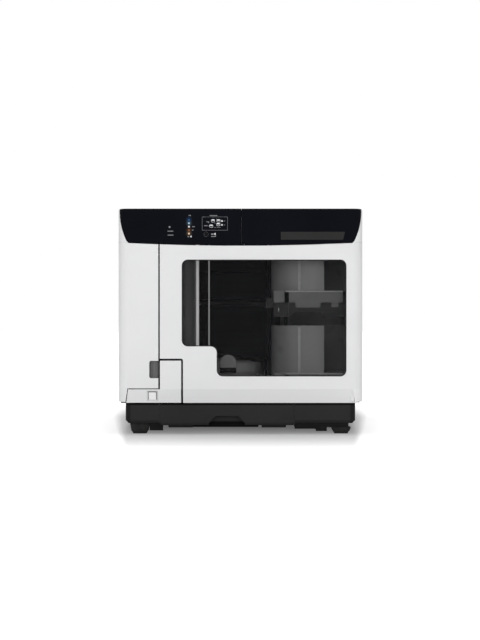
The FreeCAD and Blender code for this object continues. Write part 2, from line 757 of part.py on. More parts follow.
def corner_panel():
    """Fixed L-shaped front panel: an upright beside the disc cover and the foot with the button."""
    right = panel_seam - panel_seam_gap / 2
    left_up = ink_seam + ink_seam_gap / 2
    top = panel_top - panel_seam_gap / 2
    upright = prism(front_section(band_bottom), "side", left_up, right)
    top_trim = prism([(left_up - 1, top), (right, top, 1.6), (right, band_bottom - 5),
                      (right + 5, band_bottom - 5), (right + 5, height + 5), (left_up - 1, height + 5)],
                     "front", front - 1, front + 20)
    foot = prism(front_section(band_bottom), "side", -band_end_bottom, left_up + 0.01)
    foot = foot.common(box(-side, front - 1, band_bottom - 1, left_up + 1, front + 20, band_top))
    foot = foot.cut(band_end(-1, 0, front - 1, front + 20))
    panel = fuse(upright.cut(top_trim), foot)
    return cut(panel, slanted_box(bezel_w / 2 + 0.05, bezel_h / 2 + 0.05, -3, 8))


def slanted_box(half_w, half_h, y0, y1):
    """Box square to the leaning foot of the front, about the power button's centre."""
    tilt = math.degrees(math.atan2(band_setback, band_top - band_bottom))
    y_face = front + (band_top - button_z) * band_setback / (band_top - band_bottom)
    solid = box(-half_w, y0, -half_h, half_w, y1, half_h)
    solid.rotate(Vector(0, 0, 0), Vector(1, 0, 0), tilt)
    solid.translate(Vector(button_x, y_face, button_z))
    return solid


def power_bezel():
    """Frame round the power button, with a lip behind the corner panel."""
    ring = slanted_box(bezel_w / 2, bezel_h / 2, -0.4, 3.6)
    back_wall = slanted_box(bezel_w / 2, bezel_h / 2, 3.5, 8.0)
    hole = slanted_box(button_w / 2 + face_gap, button_h / 2 + face_gap, -2, 6.4)
    return cut(fuse(ring, back_wall), hole)


def power_button():
    """Square power button, crowned at its edges."""
    cap = slanted_box(button_w / 2, button_h / 2, -0.9, 4.4)
    return cap.makeFillet(0.7, outer_edges(cap))


def outer_edges(cap):
    """The four edges of a slanted cap's front face."""
    face = min(cap.Faces, key=lambda f: f.CenterOfMass.y)
    return face.Edges


# ================================================================ base
def base_outline(inset):
    """Plan of the base."""
    return rounded(-base_side + inset, base_front + inset, base_side - inset, base_back - inset,
                   base_r - min(inset, base_r - 2))


def base_pan():
    """Moulded base: floor, outer wall, the walls of the drawer's bay and the bosses below."""
    outer = prism(base_outline(0), "plan", base_bottom, deck_bottom)
    low_edges = [e for e in outer.Edges if e.BoundBox.ZMax < base_bottom + 0.01]
    outer = outer.makeChamfer(base_chamfer, low_edges)
    hollow = prism(base_outline(base_wall), "plan", base_bottom + base_wall + base_chamfer,
                   deck_bottom + 1)
    pan = outer.cut(hollow)
    bay_x0, bay_x1 = drawer_left + base_wall, drawer_right - base_wall
    y0, z0 = base_front + 1, base_bottom + 3
    walls = fuse(box(drawer_left, y0, z0, bay_x0, bay_back, deck_bottom),
                 box(bay_x1, y0, z0, drawer_right, bay_back, deck_bottom),
                 box(drawer_left, bay_back - base_wall, z0, drawer_right, bay_back, deck_bottom))
    bay = box(bay_x0, base_front - 1, bay_floor, bay_x1, bay_back - base_wall, deck_bottom + 1)
    mouth = box(drawer_left, base_front - 1, base_bottom - 1, drawer_right, base_front + 7.0,
                deck_bottom + 1)
    half = recess_half_low + 3.0
    finger_room = box(drawer_mid - half, base_front - 1, base_bottom - 1, drawer_mid + half,
                      base_front + recess_depth + 8.5, bay_floor + 0.1)
    lips = [box(x0 - 1, base_front - 2, drawer_low - 8, x1 + 1, base_front + 40, bay_floor + 0.1)
            for x0, x1 in drawer_lips]
    rib_pitch = (base_back - bay_back) / 4
    ribs = [box(-base_side + 2, bay_back + i * rib_pitch, base_bottom + 3, base_side - 2,
                bay_back + i * rib_pitch + 2, deck_bottom - 14) for i in (1, 2, 3)]
    pan = fuse(pan, walls, *ribs, *base_bosses())
    return cut(pan, bay, mouth, finger_room, *lips)


def frustum(x, y, z0, z1, half0, half1):
    """Square frustum from half-width half0 at z0 to half1 at z1."""
    lower = outline(rounded(x - half0, y - half0, x + half0, y + half0, 3.0), "plan", z0)
    upper = outline(rounded(x - half1, y - half1, x + half1, y + half1, 3.0), "plan", z1)
    return Part.makeLoft([lower, upper], True, True)


def base_bosses():
    """Short blocks under the base beside the feet, and the flat pad on the right."""
    parts = [frustum(x, y, boss_z, base_bottom + 0.5, 7.5, 11.5)
             for x in (boss_left, boss_right) for y in (foot_front_y, foot_rear_y)]
    parts.append(prism(rounded(foot_x - 72.5, foot_front_y - 14, foot_x + 11.5, foot_front_y + 60, 4.0),
                       "plan", pad_z, base_bottom + 0.5))
    return parts


def feet():
    """Four rubber feet, each with a socket that seats it against the base."""
    pads = []
    for x in (-foot_x, foot_x):
        for y in (foot_front_y, foot_rear_y):
            top = pad_z if x > 0 and y < 0 else base_bottom
            upper = frustum(x, y, foot_pad, top, 13.0, 15.0)
            pad = frustum(x, y, 0.0, foot_pad + 0.01, 10.5, 12.0)
            pads.append(fuse(upper, pad))
    return group(pads)


def deck_plate():
    """Steel floor of the cabinet, with the hole that discs drop through into the drawer."""
    x, y1 = side - wall - deck_clear, back - wall - deck_clear
    plate = prism(rounded(-x, top_beam_y, x, y1, 6.0), "plan", deck_bottom, deck_top)
    tools = [rod(left_axis.x, left_axis.y, deck_bottom - 1, disc_r + 2.0, deck_thick + 2),
             rod(loader_axis.x, loader_axis.y, deck_bottom - 1, column_r + 3.0, deck_thick + 2)]
    for sign in (-1, 1):
        tools.append(rod(sign * hinge_x, hinge_y, deck_bottom - 1, pin_r, deck_thick + 2))
    centre = Vector(hinge_x, hinge_y, 0)
    tools.append(sector(centre, pin_r + 2.1, corner_r + 1.0, deck_bottom - 1, deck_top + 1, -100, 80))
    return cut(plate, *tools)


def drawer_runners():
    """Steel rails on the walls of the drawer's bay."""
    rails = []
    for x0 in (drawer_left + base_wall, drawer_right - base_wall - runner_w):
        rails.append(box(x0, base_front + 12, runner_low, x0 + runner_w, bay_back - base_wall - 4,
                         runner_high))
    return group(rails)


def disc_drawer():
    """Stacker 4: a drawer with a moulded fascia, a disc well and grooves for its rails."""
    x0, x1 = drawer_left + drawer_gap, drawer_right - drawer_gap
    fascia = prism(rounded(x0, drawer_low, x1, drawer_high, 1.5), "front", base_front, base_front + 3.0)
    bx0, bx1 = drawer_left + base_wall + 1.0, drawer_right - base_wall - 1.0
    low, y1 = bay_floor + 0.5, base_front + drawer_len
    body = box(bx0, base_front + 2.9, low, bx1, y1, drawer_high - 1.0)
    well_z = low + drawer_plate - well_depth
    tools = [box(bx0 + 2, base_front + 5.5, low + drawer_plate, bx1 - 2, y1 - 2, deck_bottom),
             box(bx0 + 2, left_axis.y + well_r + 6, low + drawer_floor, bx1 - 2, y1 - 2, deck_bottom),
             rod(left_axis.x, left_axis.y, well_z, well_r, 40),
             prism(rounded(left_axis.x - 14, left_axis.y - well_r - 14, left_axis.x + 14,
                           left_axis.y - well_r + 20, 10.0), "plan", well_z, 60)]
    tools += drawer_grooves(bx0, bx1, y1)
    drawer = fuse(cut(fuse(fascia, body), *tools), *drawer_feet(low))
    return cut(drawer, *finger_recess(low))


def drawer_grooves(x0, x1, y1):
    """Grooves in the drawer's sides that run on the rails."""
    reach = base_wall + runner_w + face_gap
    y0, low, high = base_front + 3.2, runner_low - face_gap, runner_high + face_gap
    return [box(x0 - 1, y0, low, drawer_left + reach, y1 + 1, high),
            box(drawer_right - reach, y0, low, x1 + 1, y1 + 1, high)]


def drawer_feet(low):
    """Lips under the fascia and the blocks that join them to the drawer."""
    parts = []
    for a, b in drawer_lips:
        parts.append(prism([(a, lip_low, 1.0), (b, lip_low, 1.0), (b + 1, drawer_low + 2),
                            (a - 1, drawer_low + 2)], "front", base_front + 1.0, base_front + 4.0))
        parts.append(box(a, base_front + 2.0, drawer_low + 0.5, b, base_front + 4.0, low + 2))
    return parts


def finger_recess(low):
    """Finger notch in the drawer's fascia and the room behind it."""
    half = recess_half_low + 5.0
    room = box(drawer_mid - half, base_front + 2.95, low - 1, drawer_mid + half,
               base_front + recess_depth, recess_roof)
    foot_l, foot_r = drawer_mid - recess_half_low, drawer_mid + recess_half_low
    notch = prism([(foot_l, drawer_low - 1), (foot_r, drawer_low - 1), (foot_r, recess_low),
                   (drawer_mid + recess_half_top, recess_top, 2.0),
                   (drawer_mid - recess_half_top, recess_top, 2.0), (foot_l, recess_low)],
                  "front", base_front - 1, base_front + recess_depth)
    return [room, notch]


# ================================================================ inner frame
def top_frame():
    """Upper chassis plate with a front beam behind the head panels, the loader's upper
    bearing and the eyes of the upper hinge pins."""
    x = side - wall - deck_clear - 6
    plate = prism(rounded(-x, top_beam_y, x, back - wall - 6, 4.0), "plan", top_frame_z,
                  top_frame_z + top_frame_t)
    beam = box(-x, top_beam_y, door_top + 3.0, x, top_beam_y + 2.0, top_frame_z + 0.1)
    shelf = box(-x, top_beam_y - 8.0, door_top + 3.0, x, top_beam_y + 0.1, door_top + 5.0)
    eyes = [prism(rounded(sign * hinge_x - 7, hinge_y - 7, sign * hinge_x + 7, hinge_y + 7, 5.0), "plan",
                  door_top + 3.0, door_top + 8.0) for sign in (-1, 1)]
    frame = fuse(plate, beam, shelf, *eyes)
    tools = [rod(loader_axis.x, loader_axis.y, top_frame_z - 1, column_r - 3.0 + run_fit, 20)]
    tools += [rod(sign * hinge_x, hinge_y, door_top, pin_r, 20) for sign in (-1, 1)]
    tools += [rod(-hinge_x + 30 + i * 50, hinge_y + 60, top_frame_z - 1, cable_hole_r, 20) for i in range(3)]
    return cut(frame, *tools)


def hinge_pins():
    """Four steel pins: one above and one below each door."""
    pins = []
    for sign in (-1, 1):
        low, high = knuckle_levels(sign)
        pins.append(rod(sign * hinge_x, hinge_y, deck_bottom, pin_r, low + knuckle_h - deck_bottom))
        pins.append(rod(sign * hinge_x, hinge_y, high, pin_r, door_top + 8.0 - high))
    return group(pins)


def bay_partition():
    """Steel wall between the ink bay and the disc bay, with flanges and cable holes."""
    y0 = top_beam_y + 2.0
    y1 = y0 + partition_len
    web = box(partition_x - partition_t, y0, deck_top, partition_x, y1, top_frame_z)
    foot = box(partition_x - 12, y0, deck_top, partition_x, y1, deck_top + partition_t)
    head = box(partition_x - 12, top_beam_y + 8, top_frame_z - partition_t, partition_x, y1, top_frame_z)
    holes = [prism(rounded(y1 - 40 - i * 70, 120, y1 - 10 - i * 70, 160, 8.0), "side",
                   partition_x - partition_t - 1, partition_x + 1) for i in range(2)]
    return cut(fuse(web, foot, head), *holes)


def right_wall():
    """Steel wall on the right that carries the stackers' shelf and seat."""
    y0, y1 = inner_front, inner_front + right_wall_len
    web = box(right_wall_x, y0, deck_top, right_wall_x + partition_t, y1, top_frame_z)
    foot = box(right_wall_x - 10, y0 + 30, deck_top, right_wall_x, y1, deck_top + partition_t)
    holes = [prism(rounded(y1 - 60 + i * 24, 110, y1 - 44 + i * 24, 180, 6.0), "side", right_wall_x - 1,
                   right_wall_x + partition_t + 1) for i in range(2)]
    return cut(fuse(web, foot), *holes)


def front_pillar():
    """Grey round-nosed pillar left of the disc bay, hollow, with a foot and a head flange."""
    tube = rod(pillar_x, pillar_y, deck_top, pillar_r, door_top + 3.0 - deck_top)
    bore = rod(pillar_x, pillar_y, deck_top - 1, pillar_r - 2.5, door_top + 10)
    wing = box(partition_x, pillar_y - 2, deck_top, pillar_x, pillar_y + 10, door_top + 3.0)
    wing_hollow = box(partition_x + 2, pillar_y, deck_top - 1, pillar_x + 1, pillar_y + 8, door_top + 10)
    return cut(fuse(tube, wing), bore, wing_hollow)


def tie_rod():
    """Bright steel rod and a thin wire from the deck to the upper plate, beside the pillar."""
    return group([rod(tie_x, pillar_y, deck_top, tie_r, top_frame_z - deck_top),
                  rod(wire_x, pillar_y, deck_top, wire_r, top_frame_z - deck_top)])


# ================================================================ stackers
def cup_slot_tool(centre, half_w, z0, z1):
    """Slot in a stacker's wall, facing the loader."""
    angle = math.degrees(math.atan2(loader_axis.y - centre.y, loader_axis.x - centre.x))
    tool = box(centre.x + 20, centre.y - half_w, z0, centre.x + cup_outer + 20, centre.y + half_w, z1)
    return turned(tool, centre, angle)


def cup(centre, z0, base_h, wall_h, fingers):
    """Open cup for a pile of discs: base, floor, wall, the arm's slot and a finger cut-out."""
    body = rod(centre.x, centre.y, z0, cup_outer, base_h + wall_h)
    body = cut(body, rod(centre.x, centre.y, z0 + base_h, cup_inner, wall_h + 1))
    tools = [cup_slot_tool(centre, cup_slot / 2, z0 + base_h + 0.01, z0 + base_h + wall_h + 1)]
    if fingers:
        tools.append(sector(centre, cup_inner - 25, cup_outer + 5, z0 + base_h + 0.01,
                            z0 + base_h + wall_h + 1, *fingers))
    return cut(body, *tools)


def stacker(number):
    """Stackers 1 and 2: a cup on a drum with a flat grip in front and a pull lip below it."""
    z0 = (shelf_top if number == 1 else seat_top)
    body = cup(right_axis, z0, cup_base, cup_height, (finger_from, finger_to))
    hollow = rod(right_axis.x, right_axis.y, z0 - 1, cup_inner - 4, cup_base - cup_floor + 1)
    grip = prism(rounded(grip_left, z0 + 1.0, grip_right, z0 + cup_base, 2.0), "front", stacker_front,
                 right_axis.y - 40)
    grip_hollow = box(grip_left + 4, stacker_front + 3, z0 - 1, grip_right - 4, right_axis.y - 30,
                      z0 + cup_base - cup_floor)
    lug = box(shelf_left, stacker_front, z0 + 1.0, grip_left - lug_gap, right_axis.y - 20, z0 + cup_base)
    lug = lug.cut(rod(right_axis.x, right_axis.y, z0 - 1, cup_outer - 0.5, cup_base + 5))
    grip_trim = rod(right_axis.x, right_axis.y, z0 + cup_base, cup_inner, 5)
    cupped = cut(fuse(body, grip, lug), hollow, grip_hollow, grip_trim)
    return fuse(cupped, *pull_lip(z0))


def pull_lip(z0):
    """Lip of a stacker that hangs over the front of its seat, and its root on the grip."""
    y1 = stacker_front - seat_lead - 0.4
    y0 = y1 - 1.4
    lip = prism([(pull_left, z0 - pull_drop, 3.0), (pull_right, z0 - pull_drop, 3.0), (pull_right, z0 + 7.0),
                 (pull_left, z0 + 7.0)], "front", y0, y1)
    return [lip, box(pull_left, y0, z0 + 1.0, pull_right, stacker_front + 0.1, z0 + 7.0)]


def stacker_3():
    """Low bin under the trays, for finished discs; it lifts off two locating studs."""
    z0 = deck_top
    body = cup(left_axis, z0, cup_floor, bin_height - cup_floor, None)
    flange = rod(left_axis.x, left_axis.y, z0, cup_outer + 3.0, 3.0)
    finger = sector(left_axis, cup_inner - 25, cup_outer + 8, z0 + 20, bin_top + 1, -150, -105)
    return cut(fuse(body, flange, *grip_tab()), finger)


def grip_tab():
    """Round-headed tab before the low bin's wall, and the block that joins it."""
    y1 = left_axis.y - cup_outer - tab_gap
    tab = prism([(tab_left, tab_low, 2.0), (tab_right, tab_low, 2.0), (tab_right, tab_high, 12.4),
                 (tab_left, tab_high, 12.4)], "front", y1 - tab_thick, y1)
    root = box(tab_left + 1, y1 - 1, tab_low, tab_right - 1, y1 + 12, tab_low + 10)
    return [tab, root.cut(rod(left_axis.x, left_axis.y, deck_top, cup_inner, height))]


def stacker_shelf():
    """Shelf of stacker 1: plate, front skirt with an arch, ribs and mounting flange."""
    x1 = right_wall_x
    y0 = stacker_front - seat_lead
    plate = box(shelf_left, y0, shelf_top - shelf_thick, x1, right_axis.y + cup_outer + 4, shelf_top)
    skirt = box(shelf_left, y0, shelf_top - shelf_skirt, x1, y0 + 3, shelf_top)
    arch = prism([(arch_left, shelf_top - shelf_skirt - 1), (arch_right, shelf_top - shelf_skirt - 1),
                  (arch_right - 6, arch_top, 10.0), (arch_left + 6, arch_top, 10.0)], "front", y0 - 1, y0 + 5)
    flange = box(x1 - 2.5, y0, shelf_top - shelf_skirt, x1, right_axis.y + cup_outer + 4, shelf_top)
    loader_cut = rod(loader_axis.x, loader_axis.y, 0, turret_r + 5, 400)
    ribs = [box(x, y0 + 2, shelf_top - shelf_thick - 4, x + 2, right_axis.y, shelf_top - shelf_thick + 0.1)
            for x in (arch_right + 8, arch_right + 30)]
    return cut(fuse(plate, skirt, flange, *ribs, *disc_sensor(y0)), arch, loader_cut)


def disc_sensor(y0):
    """Small sensor block beside the shelf's left end, and its arm."""
    x1 = shelf_left - lug_gap
    block = box(x1 - sensor_w, y0 + 4, shelf_top - sensor_h / 2, x1, y0 + 14, shelf_top + sensor_h / 2)
    arm = box(x1 - 1, y0 + 4, shelf_top - sensor_h / 2, shelf_left + 1, y0 + 14, shelf_top - 0.5)
    return [block, arm]


def stacker_seat():
    """Moulded seat of stacker 2 on the deck, with a stepped front."""
    y0, y1 = stacker_front - seat_lead, right_axis.y + 50.0
    seat = prism(rounded(shelf_left, y0, right_wall_x, y1, 6.0), "plan", deck_top, seat_top)
    hollow = prism(rounded(shelf_left + 3, y0 + 3, right_wall_x - 3, y1 - 3, 4.0), "plan", deck_top - 1,
                   seat_top - 3)
    flange_room = box(right_wall_x - 10.3, front, 0, right_wall_x + 5, back,
                      deck_top + partition_t + face_gap)
    loader_cut = rod(loader_axis.x, loader_axis.y, 0, turret_r + 5, 400)
    return cut(seat, hollow, loader_cut, flange_room)


# ================================================================ recorders
def drive_z(number):
    """Underside of a recorder; number 1 is the upper one."""
    return drive_low + (drive_pitch if number == 1 else 0.0)


def drive_case(number):
    """Recorder's case: steel shell behind a moulded bezel with the tray's slot."""
    z0 = drive_z(number)
    z1 = z0 + drive_h
    y0 = bezel_y + bezel_thick
    case = box(drive_left, y0 - 0.01, z0, drive_right, bezel_y + drive_len, z1)
    hollow = box(drive_left + drive_skin, y0 - 2, z0 + drive_skin, drive_right - drive_skin,
                 bezel_y + drive_len - drive_skin, z1 - drive_skin)
    bezel = prism(rounded(drive_left - 0.5, z0 - 0.4, drive_right + 0.5, z1 + 0.4, 1.5), "front",
                  bezel_y, y0)
    slot = flap_box(z0, face_gap, -1, bezel_thick + 1)
    eject = eject_box(z0, face_gap, -1, bezel_thick + 1)
    lamp = rod(drive_left + 20, bezel_y - 1, z0 + 8, 1.0, 1.5, (0, 1, 0))
    spindle = rod(left_axis.x, left_axis.y + tray_travel, z0 + drive_skin - 0.1, 14.0, 9.0)
    return cut(fuse(case.cut(hollow), bezel, spindle), slot, eject, lamp)


def flap_box(z0, grow, d0, d1):
    """The tray's flap in a recorder's bezel, grown by a clearance."""
    low = z0 + tray_rise - (flap_h - tray_thick) / 2
    return box(left_axis.x - tray_w / 2 - 2 - grow, bezel_y + d0, low - grow,
               left_axis.x + tray_w / 2 + 2 + grow, bezel_y + d1, low + flap_h + grow)


def eject_box(z0, grow, d0, d1):
    """The eject button's place in a recorder's bezel."""
    x = drive_right - 24.0
    return box(x - 6 - grow, bezel_y + d0, z0 + 5.5 - grow, x + 6 + grow, bezel_y + d1, z0 + 9.5 + grow)


def tray_plate(z, y_front, length, w):
    """Disc tray: plate with two concentric disc recesses and the spindle's slot."""
    cx, cy = left_axis.x, left_axis.y + tray_travel
    y1 = y_front + length
    plate = prism([(cx - w / 2, y_front), (cx + w / 2, y_front), (cx + w / 2, y1, 6.0),
                   (cx - w / 2, y1, 6.0)], "plan", z, z + tray_thick)
    large = rod(cx, cy, z + tray_thick - 1.8, disc_r + 1.0, 5)
    small = rod(cx, cy, z + tray_thick - 3.0, 40.5, 5)
    slot = fuse(rod(cx, cy, z - 1, 17.0, 10), box(cx - 17, cy, z - 1, cx + 17, y1 + 1, z + 9))
    return cut(plate, large, small, slot)


def drive_tray(number):
    """Loading tray with its flap in the bezel."""
    z0 = drive_z(number)
    plate = tray_plate(z0 + tray_rise, bezel_y + 1.0, tray_len, tray_w)
    flap = flap_box(z0, 0, 0, 2.6)
    return fuse(plate, flap)


def eject_button(number):
    """Recorder's eject button, with a stem behind."""
    z0 = drive_z(number)
    cap = eject_box(z0, 0, -1.0, 3.4)
    x = drive_right - 24.0
    return fuse(cap, box(x - 2, bezel_y + 3.3, z0 + 6.5, x + 2, bezel_y + 8, z0 + 8.5))


def drive_cage():
    """Sheet-steel cage on the deck that carries the recorders and the printer."""
    t, gap = 1.6, 0.6
    y0, y1 = bezel_y + bezel_thick + 1.5, bezel_y + drive_len - 10
    top = drive_z(1) + drive_h + 0.5
    left = box(drive_left - gap - t, y0, deck_top, drive_left - gap, y1, top + t)
    right = box(drive_right + gap, y0, deck_top, drive_right + gap + t, y1, top + t)
    roof = box(drive_left - gap - t, y0, top, drive_right + gap + t, y1, top + t)
    tie = box(drive_left - gap - t, y0, drive_low - 4.0, drive_right + gap + t, y1, drive_low - 4.0 + t)
    holes = [prism(rounded(y0 + 20 + i * 70, deck_top + 10, y0 + 60 + i * 70, deck_top + 50, 8.0), "side",
                   drive_left - 10, drive_right + 10) for i in range(2)]
    ledges = []
    for number in (1, 2):
        z = drive_z(number) - 0.6
        ledges.append(box(drive_left - gap - 0.1, y0, z - t, drive_left + 8, y1, z))
        ledges.append(box(drive_right - 8, y0, z - t, drive_right + gap + 0.1, y1, z))
    cradle = [box(drive_left - gap - 0.1, y0, printer_low - t, drive_left + 10, y1, printer_low),
              box(drive_right - 10, y0, printer_low - t, drive_right + gap + 0.1, y1, printer_low)]
    return cut(fuse(left, right, roof, tie, *ledges, *cradle), *holes)


# ================================================================ printer
def printer_case():
    """Printer's housing: open-backed moulded box with the tray's slot and a service window."""
    y0, y1 = bezel_y, bezel_y + printer_len
    outer = prism(rounded(drive_left, printer_low, drive_right, printer_high, 4.0), "front", y0, y1)
    inner = prism(rounded(drive_left + printer_skin, printer_low + printer_skin,
                          drive_right - printer_skin, printer_high - printer_skin, 2.0), "front",
                  y0 + printer_skin, y1 - printer_skin)
    z = printer_low + printer_tray_rise
    slot = box(left_axis.x - tray_w / 2 - 2 - face_gap, y0 - 1, z - 3.5 - face_gap,
               left_axis.x + tray_w / 2 + 2 + face_gap, y0 + 5, z + 8.5 + face_gap)
    groove = box(drive_left + 8, y0 - 1, printer_low + 44, drive_right - 8, y0 + 0.8, printer_low + 45.5)
    relief = box(drive_left + 12, y0 - 1, printer_low + 52, drive_right - 12, y0 + 0.8, printer_high - 8)
    bosses = [rod(x, carriage_rod_y, carriage_rod_z, rod_r + 3, 4, (1, 0, 0))
              for x in (drive_left + printer_skin - 0.1, drive_right - printer_skin - 3.9)]
    case = cut(fuse(outer.cut(inner), *bosses), slot, groove, relief)
    return cut(case, rod(drive_left + 1.0, carriage_rod_y, carriage_rod_z, rod_r, drive_w - 2, (1, 0, 0)))


def printer_tray():
    """Printer's disc tray, with a flap in the housing's slot."""
    z = printer_low + printer_tray_rise
    plate = tray_plate(z, bezel_y + 1.0, tray_len, tray_w)
    flap = box(left_axis.x - tray_w / 2 - 2, bezel_y, z - 3.5, left_axis.x + tray_w / 2 + 2, bezel_y + 2.6,
               z + 8.5)
    return fuse(plate, flap)


def print_carriage():
    """Print head carriage on its rod, with six damper seats on top."""
    x0 = drive_left + printer_skin + 8.0
    z0 = printer_low + printer_tray_rise + tray_thick + 6.0
    y0, y1, z1 = carriage_rod_y - 34.0, carriage_rod_y + 10.0, carriage_rod_z + 10.0
    body = prism([(y0, z0 + 8, 2.0), (y0 + 8, z0, 1.0), (y0 + 26, z0, 1.0), (y0 + 26, z0 + 18),
                  (y1, z0 + 18, 3.0), (y1, z1, 3.0), (y0, z1, 3.0)], "side", x0, x0 + carriage_w)
    seats = [box(x0 + 4 + i * 6.6, y0 + 4, z1 - 6, x0 + 8.6 + i * 6.6, y0 + 18, z1 + 1)
             for i in range(ink_count)]
    bore = rod(x0 - 1, carriage_rod_y, carriage_rod_z, rod_r + run_fit, carriage_w + 2, (1, 0, 0))
    return cut(body, bore, *seats)


def carriage_rod():
    """Ground steel rod that the print carriage runs on."""
    return rod(drive_left + 1.0, carriage_rod_y, carriage_rod_z, rod_r, drive_w - 2, (1, 0, 0))


# ================================================================ ink bay
def ink_x():
    """Left side of the cartridges, centred in the bay."""
    return (bay_left + bay_right) / 2 - ink_w / 2


def ink_rack():
    """Rack with one open-fronted cell for each cartridge."""
    x0, x1 = ink_x() - 3.0, ink_x() + ink_w + 3.0
    y0, y1 = inner_front + 8, rack_back
    z0, z1 = ink_low_z - 3.0, ink_low_z + ink_count * ink_pitch - 1.0
    block = box(x0, y0, z0, x1, y1, z1)
    cells = [box(ink_x() - 0.4, y0 - 1, ink_low_z + i * ink_pitch - 0.4, ink_x() + ink_w + 0.4,
                 inner_front + ink_len + 0.4, ink_low_z + i * ink_pitch + ink_h + 0.4)
             for i in range(ink_count)]
    legs = box(x0, y0 + 10, deck_top, x0 + 3, y1, z0 + 0.1)
    legs2 = box(x1 - 3, y0 + 10, deck_top + partition_t + 0.3, x1, y1, z0 + 0.1)
    bracket = box(x1 - 0.1, y0 + 30, z1 - 20, partition_x - partition_t, y1 - 10, z1 - 14)
    return cut(fuse(block, legs, legs2, bracket), *cells)


def ink_cartridge(i):
    """Ink cartridge: a flat case with a rounded nose, a grip rib and a chip recess."""
    x, z = ink_x(), ink_low_z + i * ink_pitch
    y0, y1 = inner_front, inner_front + ink_len
    body = prism([(y0, z, 3.0), (y1, z), (y1, z + ink_h), (y0, z + ink_h, 3.0)], "side", x, x + ink_w)
    label = box(x + 6, y0 - 1, z + 5, x + ink_w - 6, y0 + 0.5, z + ink_h - 5)
    chip = box(x + ink_w - 1, y0 + 60, z + 8, x + ink_w + 1, y0 + 76, z + 20)
    port = rod(x + ink_w / 2, y1 + 1, z + ink_h / 2, 4.0, 6.0, (0, -1, 0))
    return cut(body, label, chip, port)


def waste_tank():
    """Waste ink tank behind the cartridges, with ribbed sides."""
    x0, x1 = bay_left + 1.0, bay_right - 11.0
    y0, y1 = rack_back + 3.5, grip_y0 - 14.0
    tank = prism(rounded(x0, y0, x1, y1, 4.0), "plan", deck_top, deck_top + 90.0)
    grooves = [box(x0 - 1, y0 + 12 + i * 18, deck_top + 8, x0 + 1.5, y0 + 20 + i * 18, deck_top + 80)
               for i in range(5)]
    cap = rod((x0 + x1) / 2, y1 - 20, deck_top + 89.9, 9.0, 8.0)
    return cut(fuse(tank, cap), *grooves)


# ================================================================ loader
def at_loader(shape):
    """Move a shape made about the origin to the loader's axis, with +X towards the left axis."""
    moved = turned(shape, Vector(0, 0, 0), loader_rest)
    moved.translate(loader_axis)
    return moved


def gear(teeth, module, z0, z1, bore):
    """Spur gear with trapezoid teeth on a turned blank."""
    pitch_r = teeth * module / 2
    root, tip = pitch_r - 1.2 * module, pitch_r + 0.95 * module
    points = []
    step = 2 * math.pi / teeth
    for i in range(teeth):
        for angle, r in ((-0.29, root), (-0.13, tip), (0.13, tip), (0.29, root)):
            a = (i + angle) * step
            points.append((r * math.cos(a), r * math.sin(a)))
    body = prism(points, "plan", z0, z1)
    return cut(body, rod(0, 0, z0 - 1, bore, z1 - z0 + 2)) if bore else body


def turret():
    """Turning post of the loader: gear, lower plate, hollow column and upper plate."""
    wheel = gear(gear_teeth, gear_module, turret_low, turret_low + gear_h, 0)
    lower = rod(0, 0, turret_low + gear_h - 0.1, turret_r, plate_t)
    column = rod(0, 0, turret_low, column_r, turret_high - turret_low)
    upper = rod(0, 0, turret_high - plate_t, turret_r, plate_t)
    journal = rod(0, 0, deck_bottom, column_r - 1.0, turret_low - deck_bottom + 0.1)
    top_journal = rod(0, 0, turret_high - 0.1, column_r - 3.0, top_frame_z + top_frame_t - turret_high)
    post = fuse(wheel, lower, column, upper, journal, top_journal)
    bore = rod(0, 0, deck_bottom - 1.0, column_r - 5.0, height)
    guide = rod(-guide_offset, 0, turret_low + gear_h, guide_r, 400)
    key = box(column_r - 1.6, -2.0, turret_low + 12, column_r + 1, 2.0, turret_high - plate_t)
    return at_loader(cut(post, bore, guide, key))


def loader_bearing():
    """Flanged bush that carries the turret in the deck."""
    flange = rod(loader_axis.x, loader_axis.y, deck_top, column_r + 6.0, 1.6)
    sleeve = rod(loader_axis.x, loader_axis.y, deck_bottom, column_r + 3.0, turret_low - deck_bottom - 0.4)
    return cut(fuse(flange, sleeve), rod(loader_axis.x, loader_axis.y, 30, column_r - 1.0 + run_fit, 60))


def guide_rod():
    """Steel guide rod of the loader, parallel to the column."""
    return at_loader(rod(-guide_offset, 0, turret_low + gear_h, guide_r,
                         turret_high - turret_low - gear_h))


